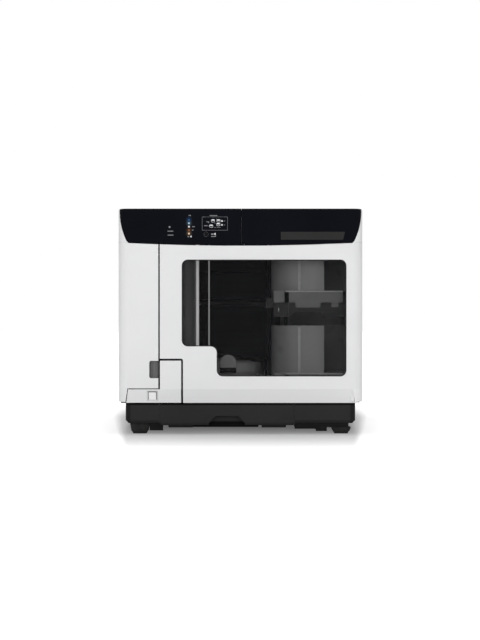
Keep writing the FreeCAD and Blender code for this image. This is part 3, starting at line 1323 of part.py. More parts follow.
def loader_arm():
    """Loader's arm: hub on the column, boss on the guide rod, and a ribbed beam to the head."""
    z0, z1 = arm_z, arm_z + arm_h
    hub = rod(0, 0, z0, column_r + 5.0, arm_h)
    boss = rod(-guide_offset, 0, z0, guide_r + 3.2, arm_h)
    back_web = box(-guide_offset, -4.5, z0, 0, 4.5, z1)
    root, tip = arm_root_w / 2, arm_tip_w / 2
    beam = prism([(0, 3 - root), (loader_reach, -tip), (loader_reach, tip), (0, root - 3)], "plan", z0, z1)
    head = rod(loader_reach, 0, z0, head_r, arm_h)
    solid = fuse(hub, boss, back_web, beam, head)
    near, far = column_r + 7, loader_reach - head_r + 1
    trough = prism([(near, 6 - root, 2.0), (far, 2.5 - tip, 2.0), (far, tip - 2.5, 2.0),
                    (near, root - 6, 2.0)], "plan", z0 + 2.5, z1 + 1)
    bowl = rod(loader_reach, 0, z0 + 3.0, head_r - 2.5, arm_h)
    inner = fuse(beam, head)
    ribs = [box(column_r + 18 + i * 16, -14, z0 + 1, column_r + 20 + i * 16, 14, z1 - 3).common(inner)
            for i in range(3)]
    socket = rod(loader_reach, 0, z0 + 2, gripper_r + 3, arm_h - 3)
    solid = fuse(solid.cut([trough, bowl]), *ribs, socket)
    key = box(column_r - 1.5, -1.9, z0, column_r + 1.0, 1.9, z1)
    column_bore = rod(0, 0, z0 - 1, column_r + run_fit, arm_h + 2)
    guide_bore = rod(-guide_offset, 0, z0 - 1, guide_r + run_fit, arm_h + 2)
    solid = fuse(cut(solid, column_bore, guide_bore), key)
    seat = rod(loader_reach, 0, z0 - 1, gripper_r - 1.0, arm_h + 2)
    return at_loader(cut(solid, seat))


def disc_gripper():
    """Gripper in the arm's head: a stem, a collar and three claws for the disc's hole."""
    z1 = arm_z + arm_h - 1.0
    stem = rod(loader_reach, 0, arm_z - gripper_len + 3, gripper_r - 1.0, z1 - arm_z + gripper_len - 3)
    collar = rod(loader_reach, 0, arm_z - 6, gripper_r + 3, 6.0)
    tip = Part.makeCone(gripper_r - 3.0, gripper_r - 1.0, 3.2, Vector(loader_reach, 0, arm_z - gripper_len))
    claw = box(loader_reach + 3, -1.5, arm_z - gripper_len + 2, loader_reach + gripper_r, 1.5, arm_z - 5)
    claws = [turned(claw, Vector(loader_reach, 0, 0), i * 120) for i in range(3)]
    return at_loader(fuse(stem, collar, tip, *claws))


def pinion_centre():
    """Axis of the swing motor's pinion, behind the turret."""
    reach = (gear_teeth + pinion_teeth) * gear_module / 2 + gear_backlash
    angle = math.radians(pinion_bearing)
    return Vector(loader_axis.x + reach * math.cos(angle), loader_axis.y + reach * math.sin(angle), 0)


def swing_pinion():
    """Motor pinion that turns the turret's gear."""
    centre = pinion_centre()
    body = gear(pinion_teeth, gear_module, turret_low + 0.3, turret_low + gear_h - 0.3, pinion_bore)
    pitches = (pinion_bearing - loader_rest) / (360.0 / gear_teeth)
    into_gap = (pitches + 0.5) * 360.0 / pinion_teeth
    body.rotate(Vector(0, 0, 0), Vector(0, 0, 1), pinion_bearing + 180 + into_gap)
    body.translate(centre)
    return body


def swing_motor():
    """Motor that swings the loader, on a bracket from the deck, with its shaft in the pinion."""
    centre = pinion_centre()
    z = turret_low + gear_h + 0.4
    can = rod(centre.x, centre.y, z, motor_r, motor_h)
    plate = prism(rounded(centre.x - 8, centre.y, centre.x + 20, centre.y + 24, 3.0), "plan", z, z + 2.0)
    leg = box(centre.x - 5, centre.y + 22, deck_top, centre.x + 17, centre.y + 24, z + 1.0)
    foot = box(centre.x - 5, centre.y + 22, deck_top, centre.x + 17, centre.y + 34, deck_top + 2.0)
    shaft = rod(centre.x, centre.y, turret_low + 0.5, pinion_bore - 0.02, gear_h + 1)
    return fuse(can, plate, leg, foot, shaft)


# ================================================================ electronics
def power_supply():
    """Power supply: folded steel box with slotted top, on the deck."""
    x0, y1 = psu_x1 - psu_w, back - wall - 4.0
    y0 = y1 - psu_len
    case = box(x0, y0, deck_top, psu_x1, y1, psu_z1)
    slots = [box(x0 + 10 + i * 8, y0 + 20, psu_z1 - 1.5, x0 + 13 + i * 8, y1 - 30, psu_z1 + 1)
             for i in range(10)]
    side_slots = [box(x0 - 1, y0 + 20 + i * 10, deck_top + 12, x0 + 1.5, y0 + 24 + i * 10, psu_z1 - 12)
                  for i in range(8)]
    return cut(case, *slots, *side_slots)


def mains_inlet():
    """Appliance inlet in the rear cover: flange, cup and three blades."""
    y1 = back - 0.6
    w, h = inlet_w / 2 - 0.15, inlet_h / 2 - 0.15
    block = box(inlet_x - w, back - wall - 4.0, inlet_z - h, inlet_x + w, y1, inlet_z + h)
    half = [(11.5, -7.0), (11.5, 3.0), (6.5, 7.5)]
    points = half + [(-u, v) for u, v in reversed(half)]
    cavity = prism([(inlet_x + u, inlet_z + v, 1.0) for u, v in points], "front", back - wall - 2.6,
                   back + 1)
    body = block.cut(cavity)
    blades = [box(inlet_x + dx - 1, back - wall - 3, inlet_z + dz - 2, inlet_x + dx + 1, back - 1.2,
                  inlet_z + dz + 2) for dx, dz in ((-7, -2), (7, -2), (0, 2.5))]
    return fuse(body, *blades)


def main_board():
    """Main board on its tray above the power supply, with a heat sink, sockets and data port."""
    z = port_z - port_h / 2 - 1.6
    x0, x1, y1 = psu_x1 - board_w, psu_x1, back - wall - 3.0
    y0 = y1 - board_len
    board = box(x0, y0, z, x1, y1, z + 1.6)
    tray = box(x0, y0, z - 6.0, x1, y1 - 6, z - 4.5)
    posts = [rod(x, y, z - 4.6, 3.0, 4.7) for x in (x0 + 6, x1 - 6) for y in (y0 + 6, y1 - 14)]
    case_x = psu_x1 - psu_w
    legs = [box(x1 - 2, y0 + 20, psu_z1, x1, y1 - 20, z - 4.5),
            box(case_x, y1 - psu_len + 5, psu_z1, case_x + 2, y1 - 20, z - 4.5)]
    chip = box(x0 + 40, y0 + 50, z + 1.5, x0 + 66, y0 + 76, z + 4)
    fins = [box(x0 + 38 + i * 5, y0 + 48, z + 3.9, x0 + 40 + i * 5, y0 + 78, z + 18) for i in range(6)]
    sink = fuse(*fins, box(x0 + 38, y0 + 48, z + 3.9, x0 + 65, y0 + 78, z + 6))
    sockets = [box(x0 + 4, y0 + 20 + i * 26, z + 1.5, x0 + 12, y0 + 40 + i * 26, z + 9) for i in range(4)]
    return fuse(board, tray, *posts, *legs, chip, sink, *sockets, data_port())


def data_port():
    """Square data socket at the rear edge of the main board."""
    w, h = port_w / 2 - 0.2, port_h / 2 - 0.2
    z = port_z
    shell = box(port_x - w, back - 18.0, z - h, port_x + w, back - 0.8, z + h)
    shell = fuse(shell, box(port_x - w, back - 18.0, z - h - 0.3, port_x + w, back - wall - 4.0, z))
    half = [(w - 1.2, 1.2 - h), (w - 1.2, 2.0), (w - 3.2, h - 1.2)]
    points = half + [(-u, v) for u, v in reversed(half)]
    cavity = prism([(port_x + u, z + v) for u, v in points], "front", back - 12.0, back + 1)
    tongue = box(port_x - 2.8, back - 12.1, z - 1.6, port_x + 2.8, back - 3.0, z + 1.6)
    return fuse(shell.cut(cavity), tongue)


def fan_frame():
    """Square fan frame behind the rear cover, with its motor's spider."""
    s, y1 = fan_size / 2, back - wall - 0.4
    y0 = y1 - fan_thick
    frame = prism(rounded(fan_x - s, fan_z - s, fan_x + s, fan_z + s, 5.0), "front", y0, y1)
    frame = frame.cut(rod(fan_x, y0 - 1, fan_z, s - 2.5, fan_thick + 2, (0, 1, 0)))
    corner_holes = [rod(fan_x + dx * (s - 4), y0 - 1, fan_z + dz * (s - 4), 2.2, fan_thick + 2, (0, 1, 0))
                    for dx in (-1, 1) for dz in (-1, 1)]
    hub = rod(fan_x, y1 - 3.0, fan_z, 14.0, 3.0, (0, 1, 0))
    spoke = box(fan_x - 1.5, y1 - 2.5, fan_z, fan_x + 1.5, y1, fan_z + s - 1)
    spokes = [turned(spoke, Vector(fan_x, 0, fan_z), 45 + i * 90, (0, 1, 0)) for i in range(4)]
    pin = rod(fan_x, y0 + 4.0, fan_z, 1.5, fan_thick - 5.0, (0, 1, 0))
    return cut(fuse(frame, hub, pin, *spokes), *corner_holes)


def fan_rotor():
    """Fan rotor: hub with seven pitched blades, bored for the frame's pin."""
    y1 = back - wall - 0.4 - 3.0 - 0.5
    y0 = y1 - fan_thick + 5.0
    hub = rod(fan_x, y0, fan_z, 15.0, y1 - y0, (0, 1, 0))
    blades = []
    for i in range(7):
        blade = box(-0.8, -7.5, 13.0, 0.8, 7.5, fan_size / 2 - 3.5)
        blade.rotate(Vector(0, 0, 0), Vector(0, 0, 1), 38)
        blade.translate(Vector(fan_x, (y0 + y1) / 2, fan_z))
        blades.append(turned(blade, Vector(fan_x, 0, fan_z), i * 360 / 7, (0, 1, 0)))
    trim = rod(fan_x, y0, fan_z, fan_size / 2 - 3.5, y1 - y0, (0, 1, 0))
    rotor = fuse(hub, *[b.common(trim) for b in blades])
    return cut(rotor, rod(fan_x, y0 - 1, fan_z, 1.5 + run_fit, fan_thick + 2, (0, 1, 0)))


def screw_places():
    """Centres of the rear cover's screws."""
    return [(x, z) for x in (-side + 20, -60.0, 60.0, side - 20) for z in (cover_bottom + 12, height - 14)]


# ================================================================ node table
nodes = {
    "base_pan": base_pan, "feet": feet, "deck_plate": deck_plate, "drawer_runners": drawer_runners,
    "disc_drawer": disc_drawer, "top_frame": top_frame, "hinge_pins": hinge_pins,
    "bay_partition": bay_partition, "right_wall": right_wall, "front_pillar": front_pillar,
    "tie_rod": tie_rod,
    "left_cover": lambda: side_cover(-1), "right_cover": lambda: side_cover(1),
    "grip_pockets": lambda: group([grip_pocket(sign) for sign in (-1, 1)]),
    "top_cover": top_cover, "rear_cover": rear_cover,
    "control_panel": control_panel, "right_panel": right_panel, "indicator_strip": indicator_strip,
    "panel_lamps": panel_lamps, "panel_button": panel_button, "panel_board": panel_board,
    "corner_panel": corner_panel, "power_bezel": power_bezel, "power_button": power_button,
    "disc_cover": disc_cover, "cover_window": cover_window,
    "ink_cover": ink_cover, "ink_cover_pull": ink_cover_pull, "ink_rack": ink_rack,
    "ink_cartridges": lambda: group([ink_cartridge(i) for i in range(ink_count)]),
    "waste_tank": waste_tank,
    "stacker_1": lambda: stacker(1), "stacker_2": lambda: stacker(2), "stacker_3": stacker_3,
    "stacker_shelf": stacker_shelf, "stacker_seat": stacker_seat,
    "drive_cage": drive_cage, "printer_case": printer_case, "printer_tray": printer_tray,
    "print_carriage": print_carriage, "carriage_rod": carriage_rod,
    "turret": turret, "loader_bearing": loader_bearing, "guide_rod": guide_rod,
    "loader_arm": loader_arm, "disc_gripper": disc_gripper, "swing_pinion": swing_pinion,
    "swing_motor": swing_motor,
    "power_supply": power_supply, "mains_inlet": mains_inlet, "main_board": main_board,
    "fan_frame": fan_frame, "fan_rotor": fan_rotor,
}
for drive in (1, 2):
    nodes[f"drive_case_{drive}"] = lambda n=drive: drive_case(n)
    nodes[f"drive_tray_{drive}"] = lambda n=drive: drive_tray(n)
    nodes[f"eject_button_{drive}"] = lambda n=drive: eject_button(n)

os.makedirs("parts", exist_ok=True)
for name, make in nodes.items():
    shape = make()
    shape.exportStep(f"parts/{name}.step")
    print(f"{name:20s} solids {len(shape.Solids)} faces {len(shape.Faces):4d} "
          f"volume {shape.Volume / 1000:9.2f} cm3 valid {shape.isValid()}")
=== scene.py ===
"""Looks of the disc label printer: finished panels, mouldings, printed marks, lamps and hardware."""
import json
import math

import bmesh
import bpy
from mathutils import Matrix, Vector


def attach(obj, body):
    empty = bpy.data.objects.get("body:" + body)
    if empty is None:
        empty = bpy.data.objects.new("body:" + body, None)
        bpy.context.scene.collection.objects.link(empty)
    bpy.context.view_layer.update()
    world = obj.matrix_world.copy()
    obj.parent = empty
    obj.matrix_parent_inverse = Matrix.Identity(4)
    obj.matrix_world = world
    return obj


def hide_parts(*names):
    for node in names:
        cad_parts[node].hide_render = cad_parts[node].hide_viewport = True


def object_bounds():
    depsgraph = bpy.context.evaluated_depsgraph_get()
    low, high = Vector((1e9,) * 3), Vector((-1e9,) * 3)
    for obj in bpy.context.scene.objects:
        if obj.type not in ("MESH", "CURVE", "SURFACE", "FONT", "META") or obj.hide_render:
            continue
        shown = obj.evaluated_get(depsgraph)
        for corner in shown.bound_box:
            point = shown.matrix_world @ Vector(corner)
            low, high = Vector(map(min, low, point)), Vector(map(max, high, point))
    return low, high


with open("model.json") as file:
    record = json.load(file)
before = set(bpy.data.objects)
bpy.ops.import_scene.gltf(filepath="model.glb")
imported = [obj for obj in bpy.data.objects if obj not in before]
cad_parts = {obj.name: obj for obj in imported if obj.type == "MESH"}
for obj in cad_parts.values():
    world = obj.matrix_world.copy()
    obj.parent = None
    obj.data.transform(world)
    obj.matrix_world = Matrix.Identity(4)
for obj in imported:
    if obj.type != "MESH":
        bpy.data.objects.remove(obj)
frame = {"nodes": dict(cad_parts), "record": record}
cad_box = [list(corner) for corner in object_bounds()]
nodes = frame["nodes"]
record = frame["record"]
body_of = {n: body for body, members in record["behaviour"]["bodies"].items() for n in members}
slot_of = {s["node"]: s["material_slot"] for s in record["subparts"]}

# ---------------- sizes, in metres
front_face = cad_box[0][1]
mm = 0.001

# camera and picture
picture_h = 640                   # height of the picture, in pixels
pixel_size = 1.538 * mm           # size of one pixel at the front face
camera_distance = 2.3
eye_height = 188.0 * mm
aim_height = 176.5 * mm
eye_x = -0.7 * mm
sensor_high = 24.0

# floor: where the painted soft shadow starts and ends, across and along, and how its sides run with the depth
shadow_inner, shadow_outer, shadow_lean, shadow_flare = 0.1877, 0.2129, 0.0684, 0.036
shadow_near, shadow_far = 0.09, 0.51
# the shadow painted into the floor's colour, the shadow painted into its glow, and the glow that rises far
# away: low, high, start and stop of a spread
floor_shadow_tone, floor_shadow_glow, floor_far = (0.6, 1.0, 0.5, 1), (0.13, 0.49, 0, 1), (0, 0.4, 0.42, 0.8)

# front panels, in millimetres
front_mm, back_mm, side_mm, base_front = -232.5, 232.5, 188.5, -224.5
plain_edge, plain_crease = 0.35 * mm, 40.0      # broken edge of a piece, and its sharp angle in degrees
print_depth, dash_gap = 0.05, 0.35     # thickness of a printed mark, and space between dashes
panel_set_back = 0.06             # the control panel's face gives way to its marks
cover_corner, cover_seam = 296.8, 296.2     # side cover's corner, and where it meets the front covers
seam_front, seam_turn, cover_end = -214.0, 0.94, 170.0
frame_w, frame_low, frame_high = 9.0, 84.0, 276.0      # the window's frame, which is no seam
panel_seam, panel_seam_half = 3.9, 3.0
slope_in, slope_h, slope_top = 7.0, 21.4, 70.0         # slope below the doors
lamp_x, lamp_tops = -79.2, (330.6, 325.3, 320.0, 314.7, 309.4)
status_x, status_z = -109.0, 319.5
key_x, key_z = -52.7, 308.3
window_low, window_high, lobe_low = 89.6, 269.5, 135.8
window_left, window_right, lobe_step, window_r = -90.4, 163.1, -36.6, 9.5
# width of the painted shade round the window's edge, and how far the pane sits back
window_shade_w, pane_recess = 1.3, 0.8

# inside, in millimetres
loader_axis, loader_rest = (57.0, -52.97), math.radians(-156.309)
belt_low, belt_high, belt_pitch, belt_teeth = 63.0, 331.0, 2.0, 133
stack_axis = (112.6, -130.0)      # middle of the stackers
cup_outer, rail_left, rail_right, rail_h, rib_h = 63.0, 70.4, 159.6, 2.0, 72.0
rib_half, rib_turn, rib_apart = (math.radians(a) for a in (1.9, -109.0, -142.0))
stacker_front, seat_lead = -196.0, 2.0
numeral_x, numeral_h = 59.8, 8.4
shelf_top, seat_top, cup_base = 202.7, 74.0, 19.5
ink_x, ink_w, ink_h, ink_low, ink_pitch, ink_face = -176.5, 44.0, 29.0, 84.0, 33.0, -201.5
drive_left, drive_right, drive_lows, bezel_y = -103.0, 43.0, (257.8, 212.0), -25.13
louvre_y, louvre_z, louvre_len, louvre_pitch, louvre_count = 120.0, 240.0, 70.0, 8.0, 9
screw_x, screw_z, screw_sink = (-168.5, -60.0, 60.0, 168.5), (62.4, 334.0), 1.1


# ================ finishes
def add_node(tree, kind, inputs, settings):
    """Add a node; inputs maps a socket name or index to a value or to another output."""
    made = tree.nodes.new(kind)
    for key, value in settings.items():
        setattr(made, key, value)
    for key, value in (inputs or {}).items():
        socket = made.inputs[key]
        if isinstance(value, bpy.types.NodeSocket):
            tree.links.new(value, socket)
        else:
            socket.default_value = value
    return made


class Finish:
    """A procedural finish, built on Object coordinates round one Principled shader."""

    def __init__(self, name, **fixed):
        self.material = bpy.data.materials.new(name)
        self.material.use_nodes = True
        self.tree = self.material.node_tree
        self.shader = self.tree.nodes["Principled BSDF"]
        self.place = self.node("ShaderNodeTexCoord").outputs["Object"]
        for socket, value in fixed.items():
            self.shader.inputs[socket.replace("_", " ")].default_value = value

    @classmethod
    def around(cls, tree):
        """Handle on a node tree that is there already."""
        f = cls.__new__(cls)
        f.tree = tree
        f.shader = tree.nodes.get("Principled BSDF")
        return f

    def node(self, kind, inputs=None, **settings):
        return add_node(self.tree, kind, inputs, settings)

    def reckon(self, operation, *values):
        """Result of an operation on numbers."""
        return self.node("ShaderNodeMath", dict(enumerate(values)), operation=operation).outputs[0]

    def product(self, first, second):
        """Product of two colours."""
        return self.node("ShaderNodeMix", {0: 1.0, 6: first, 7: second}, data_type="RGBA",
                         blend_type="MULTIPLY").outputs[2]

    def noise(self, scale, detail=2.0, stretch=(1, 1, 1)):
        """Noise with a wave length of about 1/scale metres, stretched along an axis."""
        where = self.place
        if tuple(stretch) != (1, 1, 1):
            where = self.node("ShaderNodeMapping", {"Vector": where, "Scale": stretch}).outputs[0]
        return self.node("ShaderNodeTexNoise", {"Vector": where, "Scale": scale,
                                                "Detail": detail}).outputs["Fac"]

    def speckle(self, scale):
        """Distance to scattered cell centres, for spangled and pitted textures."""
        return self.node("ShaderNodeTexVoronoi", {"Vector": self.place, "Scale": scale}).outputs["Distance"]

    def spread(self, value, low, high, start=0.3, stop=0.7):
        """Map a pattern's useful range onto low..high."""
        return self.node("ShaderNodeMapRange", {"Value": value, "From Min": start, "From Max": stop,
                                                "To Min": low, "To Max": high}).outputs["Result"]

    def mixed(self, value, dark, light):
        """Colour between two tones."""
        mix = self.node("ShaderNodeMix", {0: value, 6: (*dark, 1), 7: (*light, 1)}, data_type="RGBA")
        return mix.outputs[2]

    def colour(self, value):
        self.tree.links.new(value, self.shader.inputs["Base Color"])

    def roughness(self, value):
        self.tree.links.new(value, self.shader.inputs["Roughness"])

    def relief(self, *layers):
        """Bump layers, each a (height pattern, depth in metres) pair."""
        normal = None
        for height, depth in layers:
            bump = self.node("ShaderNodeBump", {"Height": height, "Distance": depth, "Strength": 1.0})
            if normal is not None:
                self.tree.links.new(normal, bump.inputs["Normal"])
            normal = bump.outputs["Normal"]
        self.tree.links.new(normal, self.shader.inputs["Normal"])


def moulded(name, dark, light, rough, grain=1500.0, depth=0.012 * mm, **fixed):
    """Moulded plastic with a fine spark-eroded grain and a slow drift in tone and sheen."""
    f = Finish(name, **fixed)
    drift = f.noise(9.0, 3.0)
    f.colour(f.mixed(f.spread(drift, 0, 1), dark, light))
    f.roughness(f.spread(f.noise(34.0, 4.0), *rough))
    f.relief((f.noise(grain, 3.0), depth), (f.noise(grain * 0.21, 2.0), depth * 0.8))
    return f.material


def toned(material, axis, tones):
    """Tone of a finish made to go by (millimetres, factor) steps along an axis."""
    f = Finish.around(material.node_tree)
    tone = f.shader.inputs["Base Color"].links[0].from_socket
    place = f.node("ShaderNodeTexCoord").outputs["Object"]
    along = f.node("ShaderNodeSeparateXYZ", {0: place}).outputs[axis]
    first, last = tones[0][0], tones[-1][0]
    part = f.spread(along, 0, 1, first * mm, last * mm)
    ramp = f.node("ShaderNodeValToRGB", {"Fac": part})
    stops = ramp.color_ramp.elements
    for i, (where, factor) in enumerate(tones):
        stop = stops[i] if i < 2 else stops.new(1.0)
        stop.position = (where - first) / (last - first)
        stop.color = (factor, factor, factor, 1)
    f.colour(f.product(tone, ramp.outputs["Color"]))
    return material


def shaded(name, dark, light, rough, axis, tones, **rest):
    """Moulded plastic with a tone that changes along an axis."""
    return toned(moulded(name, dark, light, rough, **rest), axis, tones)


def polished(name, dark, light, rough, **fixed):
    """Polished plastic: nearly flat, with a trace of orange peel and fine wipe marks."""
    f = Finish(name, **fixed)
    f.colour(f.mixed(f.spread(f.noise(12.0, 2.0), 0, 1), dark, light))
    wipes = f.noise(60.0, 5.0, stretch=(0.35, 1, 2.6))
    f.roughness(f.spread(wipes, *rough))
    f.relief((f.noise(160.0, 1.0), 0.004 * mm))
    return f.material


def sheet_metal(name, dark, light, rough, **fixed):
    """Rolled, zinc-coated sheet: long rolling lines under a soft spangle."""
    f = Finish(name, Metallic=1.0, **fixed)
    spangle = f.speckle(160.0)
    lines = f.noise(900.0, 2.0, stretch=(1, 0.03, 1))
    f.colour(f.mixed(f.spread(spangle, 0, 1, 0.0, 0.8), dark, light))
    f.roughness(f.spread(lines, *rough))
    f.relief((lines, 0.004 * mm))
    return f.material


def ground_steel(name, dark, light, rough, along):
    """Ground or turned steel with fine lines across its length."""
    stretch = [1.0, 1.0, 1.0]
    stretch["XYZ".index(along)] = 30.0
    f = Finish(name, Metallic=1.0)
    lines = f.noise(90.0, 3.0, stretch=stretch)
    f.colour(f.mixed(f.spread(lines, 0, 1), dark, light))
    f.roughness(f.spread(lines, *rough))
    f.relief((lines, 0.002 * mm))
    return f.material


def rubber(name, dark, light):
    """Matte rubber with a dusty bloom."""
    f = Finish(name, Specular_IOR_Level=0.3)
    f.colour(f.mixed(f.spread(f.noise(220.0, 5.0), 0, 1), dark, light))
    f.roughness(f.spread(f.noise(90.0, 3.0), 0.72, 0.92))
    f.relief((f.speckle(1400.0), 0.02 * mm))
    return f.material


def smoked(name, tint, alpha, rough, **fixed):
    """Clear smoked plastic seen through, with a trace of polish marks."""
    f = Finish(name, Alpha=alpha, IOR=1.49, **fixed)
    f.colour(f.mixed(f.spread(f.noise(20.0, 2.0), 0, 1), tint, tuple(c * 1.15 for c in tint)))
    f.roughness(f.spread(f.noise(70.0, 4.0, stretch=(0.4, 1, 1.8)), *rough))
    f.relief((f.noise(45.0, 1.0), 0.003 * mm))
    return f.material


def lit_lens(name, glow, strength):
    """Lamp lens that glows, brighter at its middle."""
    f = Finish(name, Emission_Strength=strength)
    f.colour(f.mixed(f.spread(f.noise(900.0, 2.0), 0, 1), tuple(g * 0.6 for g in glow), glow))
    f.roughness(f.spread(f.noise(400.0, 2.0), 0.12, 0.3))
    f.shader.inputs["Emission Color"].default_value = (*glow, 1)
    return f.material


def glow_field(name, lamps, rough, **fixed):
    """Black gloss through which lamps shine: each lamp a bright core in a soft halo of its colour."""
    f = Finish(name, Emission_Strength=1.0, **fixed)
    f.colour(f.mixed(f.spread(f.noise(12.0, 2.0), 0, 1), *gloss_tones))
    f.roughness(f.spread(f.noise(60.0, 5.0, stretch=(0.35, 1, 2.6)), *rough))
    total = None
    for x, z, tint, core, halo in lamps:
        away = f.node("ShaderNodeVectorMath", {0: f.place, 1: (x * mm, front_mm * mm, z * mm)},
                      operation="DISTANCE").outputs["Value"]
        rings = (0.5, 2.0, core, "SMOOTHSTEP"), (1.0, 6.6, halo, "SMOOTHERSTEP")
        near, wide = (f.node("ShaderNodeMapRange", {
            "Value": away, "From Min": start * mm, "From Max": end * mm, "To Min": bright, "To Max": 0.0},
            interpolation_type=curve).outputs[0] for start, end, bright, curve in rings)
        level = f.reckon("ADD", near, wide)
        light = f.node("ShaderNodeVectorMath", {0: tint, "Scale": level}, operation="SCALE").outputs[0]
        total = light if total is None else f.node("ShaderNodeVectorMath", {0: total, 1: light},
                                                   operation="ADD").outputs[0]
    f.tree.links.new(total, f.shader.inputs["Emission Color"])
    f.relief((f.noise(160.0, 1.0), 0.004 * mm))
    return f.material


def banded(name, low, pitch, tints, rough):
    """Printed labels whose colour goes by their height, one band for each cartridge."""
    f = Finish(name)
    height = f.node("ShaderNodeSeparateXYZ", {0: f.place}).outputs["Z"]
    part = f.spread(height, 0, 1, low * mm, (low + pitch * len(tints)) * mm)
    ramp = f.node("ShaderNodeValToRGB", {"Fac": part})
    ramp.color_ramp.interpolation = "CONSTANT"
    for i, tint in enumerate(tints):
        stop = ramp.color_ramp.elements[0] if i == 0 else ramp.color_ramp.elements.new(i / len(tints))
        stop.color = (*tint, 1)
    ramp.color_ramp.elements.remove(ramp.color_ramp.elements[-1])
    fleck = f.mixed(f.spread(f.noise(900.0, 3.0), 0, 1), (0.9, 0.9, 0.9), (1, 1, 1))
    f.colour(f.product(ramp.outputs["Color"], fleck))
    f.roughness(f.spread(f.noise(300.0, 3.0), *rough))
    f.relief((f.noise(1800.0, 2.0), 0.004 * mm))
    return f.material


def ink(name, dark, light):
    """Ink finish, matte and slightly mottled: screen print, and also the painted shade of dark gaps and
    edges.
    """
    f = Finish(name, Specular_IOR_Level=0.3)
    f.colour(f.mixed(f.spread(f.noise(700.0, 4.0), 0, 1), dark, light))
    f.roughness(f.spread(f.noise(500.0, 3.0), 0.5, 0.7))
    f.relief((f.noise(2600.0, 2.0), 0.004 * mm))
    return f.material


def circuit_board(name):
    """Lacquered board: green mask over darker track areas."""
    f = Finish(name)
    tracks = f.node("ShaderNodeTexBrick", {
        "Vector": f.place, "Scale": 90.0, "Mortar Size": 0.012, "Color1": (0.012, 0.09, 0.035, 1),
        "Color2": (0.016, 0.12, 0.05, 1), "Mortar": (0.03, 0.19, 0.09, 1)})
    f.colour(tracks.outputs["Color"])
    f.roughness(f.spread(f.noise(300.0, 2.0), 0.25, 0.42))
    f.relief((tracks.outputs["Fac"], -0.03 * mm))
    return f.material


gloss_tones = (0.0030, 0.0035, 0.0058), (0.0042, 0.0047, 0.0074)
gloss_rough, gloss_level = (0.09, 0.16), 0.03
# painted shade: darker near the floor below 19.5 mm, and a dark band from 45 mm up for the shadow gap under
# the covers
shaded_base_black = shaded("black_base_painted_shade", (0.0225, 0.0225, 0.0228), (0.0275, 0.0275, 0.0278), (0.5, 0.66),
                    "Z", ((0, 0.4), (13, 0.4), (19.5, 1), (44.8, 1), (45.2, 0.12), (60, 0.12)),
                    grain=900.0, depth=0.03 * mm, Specular_IOR_Level=0.08)
finishes = {
    "white_shell": moulded("white_moulding", (0.755, 0.76, 0.765), (0.785, 0.788, 0.79), (0.40, 0.52)),
    "black_gloss": polished("black_gloss_panel", *gloss_tones, gloss_rough, Specular_IOR_Level=gloss_level),
    # painted shade: darker at the rounded side edges of the base
    "black_base": toned(shaded_base_black, "X", ((-180, 0.45), (-171, 0.5), (-168.4, 1),
                                          (168.4, 1), (171, 0.5), (180, 0.45))),
    "black_inner": moulded("black_inner_moulding", (0.0105, 0.0107, 0.0115), (0.0135, 0.0137, 0.0147),
                           (0.5, 0.65), Specular_IOR_Level=0.03),
    "grey_inner": moulded("grey_inner_moulding", (0.07, 0.07, 0.072), (0.09, 0.09, 0.092), (0.38, 0.5)),
    "smoked_pane": smoked("smoked_pane", (0.008, 0.008, 0.009), 0.22, (0.03, 0.07), Specular_IOR_Level=0.12),
    # the stackers' grey goes by height; the lower one darkens from 168 mm up to the shelf, painted shade
    # under the shelf
    "smoked_cup": shaded("grey_stacker", (0.93, 0.93, 0.935), (1.0, 1.0, 1.0), (0.26, 0.36), "Z",
                         ((40, 0.22), (93.3, 0.22), (93.6, 0.30), (168, 0.30), (190, 0.17), (202.5, 0.17),
                          (202.9, 0.19), (222.0, 0.19), (222.4, 0.34), (300, 0.34))),
    "zinc_sheet": sheet_metal("zinc_sheet", (0.36, 0.37, 0.38), (0.52, 0.53, 0.54), (0.3, 0.45)),
    "ground_steel": ground_steel("ground_steel", (0.55, 0.55, 0.56), (0.72, 0.72, 0.73), (0.14, 0.26), "Z"),
    "foot_rubber": rubber("foot_rubber", (0.012, 0.012, 0.012), (0.022, 0.022, 0.021)),
    # painted light and shade of the scooped recess: dark at its left wall, light in its middle, darker to the
    # right
    "grey_pull": shaded("grey_finger_pull_painted_shading", (0.9, 0.9, 0.9), (1.0, 1.0, 1.0), (0.36, 0.5), "X",
                        ((-142.4, 0.08), (-139.4, 0.09), (-137.2, 0.26), (-134.6, 0.26), (-132.6, 0.14),
                         (-129.4, 0.13), (-126.2, 0.05))),
    "key_white": polished("white_key", (0.93, 0.93, 0.93), (0.96, 0.96, 0.96), (0.2, 0.3)),
    "lamp_lens": lit_lens("status_lens", (0.25, 0.45, 0.9), 0.6),
    "strip_grey": polished("grey_strip", (0.0245, 0.0245, 0.0238), (0.0285, 0.0285, 0.0278), (0.16, 0.26),
                           Specular_IOR_Level=0.06),
    "tray_black": moulded("tray_moulding", (0.0115, 0.0117, 0.0125), (0.015, 0.0152, 0.0162), (0.5, 0.65),
                          grain=1100.0, Specular_IOR_Level=0.03),
    "gear_white": moulded("acetal_gear", (0.58, 0.57, 0.53), (0.64, 0.63, 0.59), (0.3, 0.42)),
    "arm_grey": moulded("grey_arm", (0.12, 0.12, 0.125), (0.15, 0.15, 0.155), (0.36, 0.5)),
    "board_green": circuit_board("circuit_board"),
    "ink_case": moulded("cartridge_case", (0.022, 0.022, 0.024), (0.03, 0.03, 0.032), (0.3, 0.42)),
    "tank_grey": moulded("tank_moulding", (0.4, 0.41, 0.42), (0.47, 0.48, 0.49), (0.3, 0.42)),
    "motor_steel": ground_steel("motor_can", (0.32, 0.32, 0.33), (0.44, 0.44, 0.45), (0.26, 0.4), "Z"),
}
mark_bright = ink("pale_print", (0.74, 0.75, 0.77), (0.82, 0.83, 0.85))
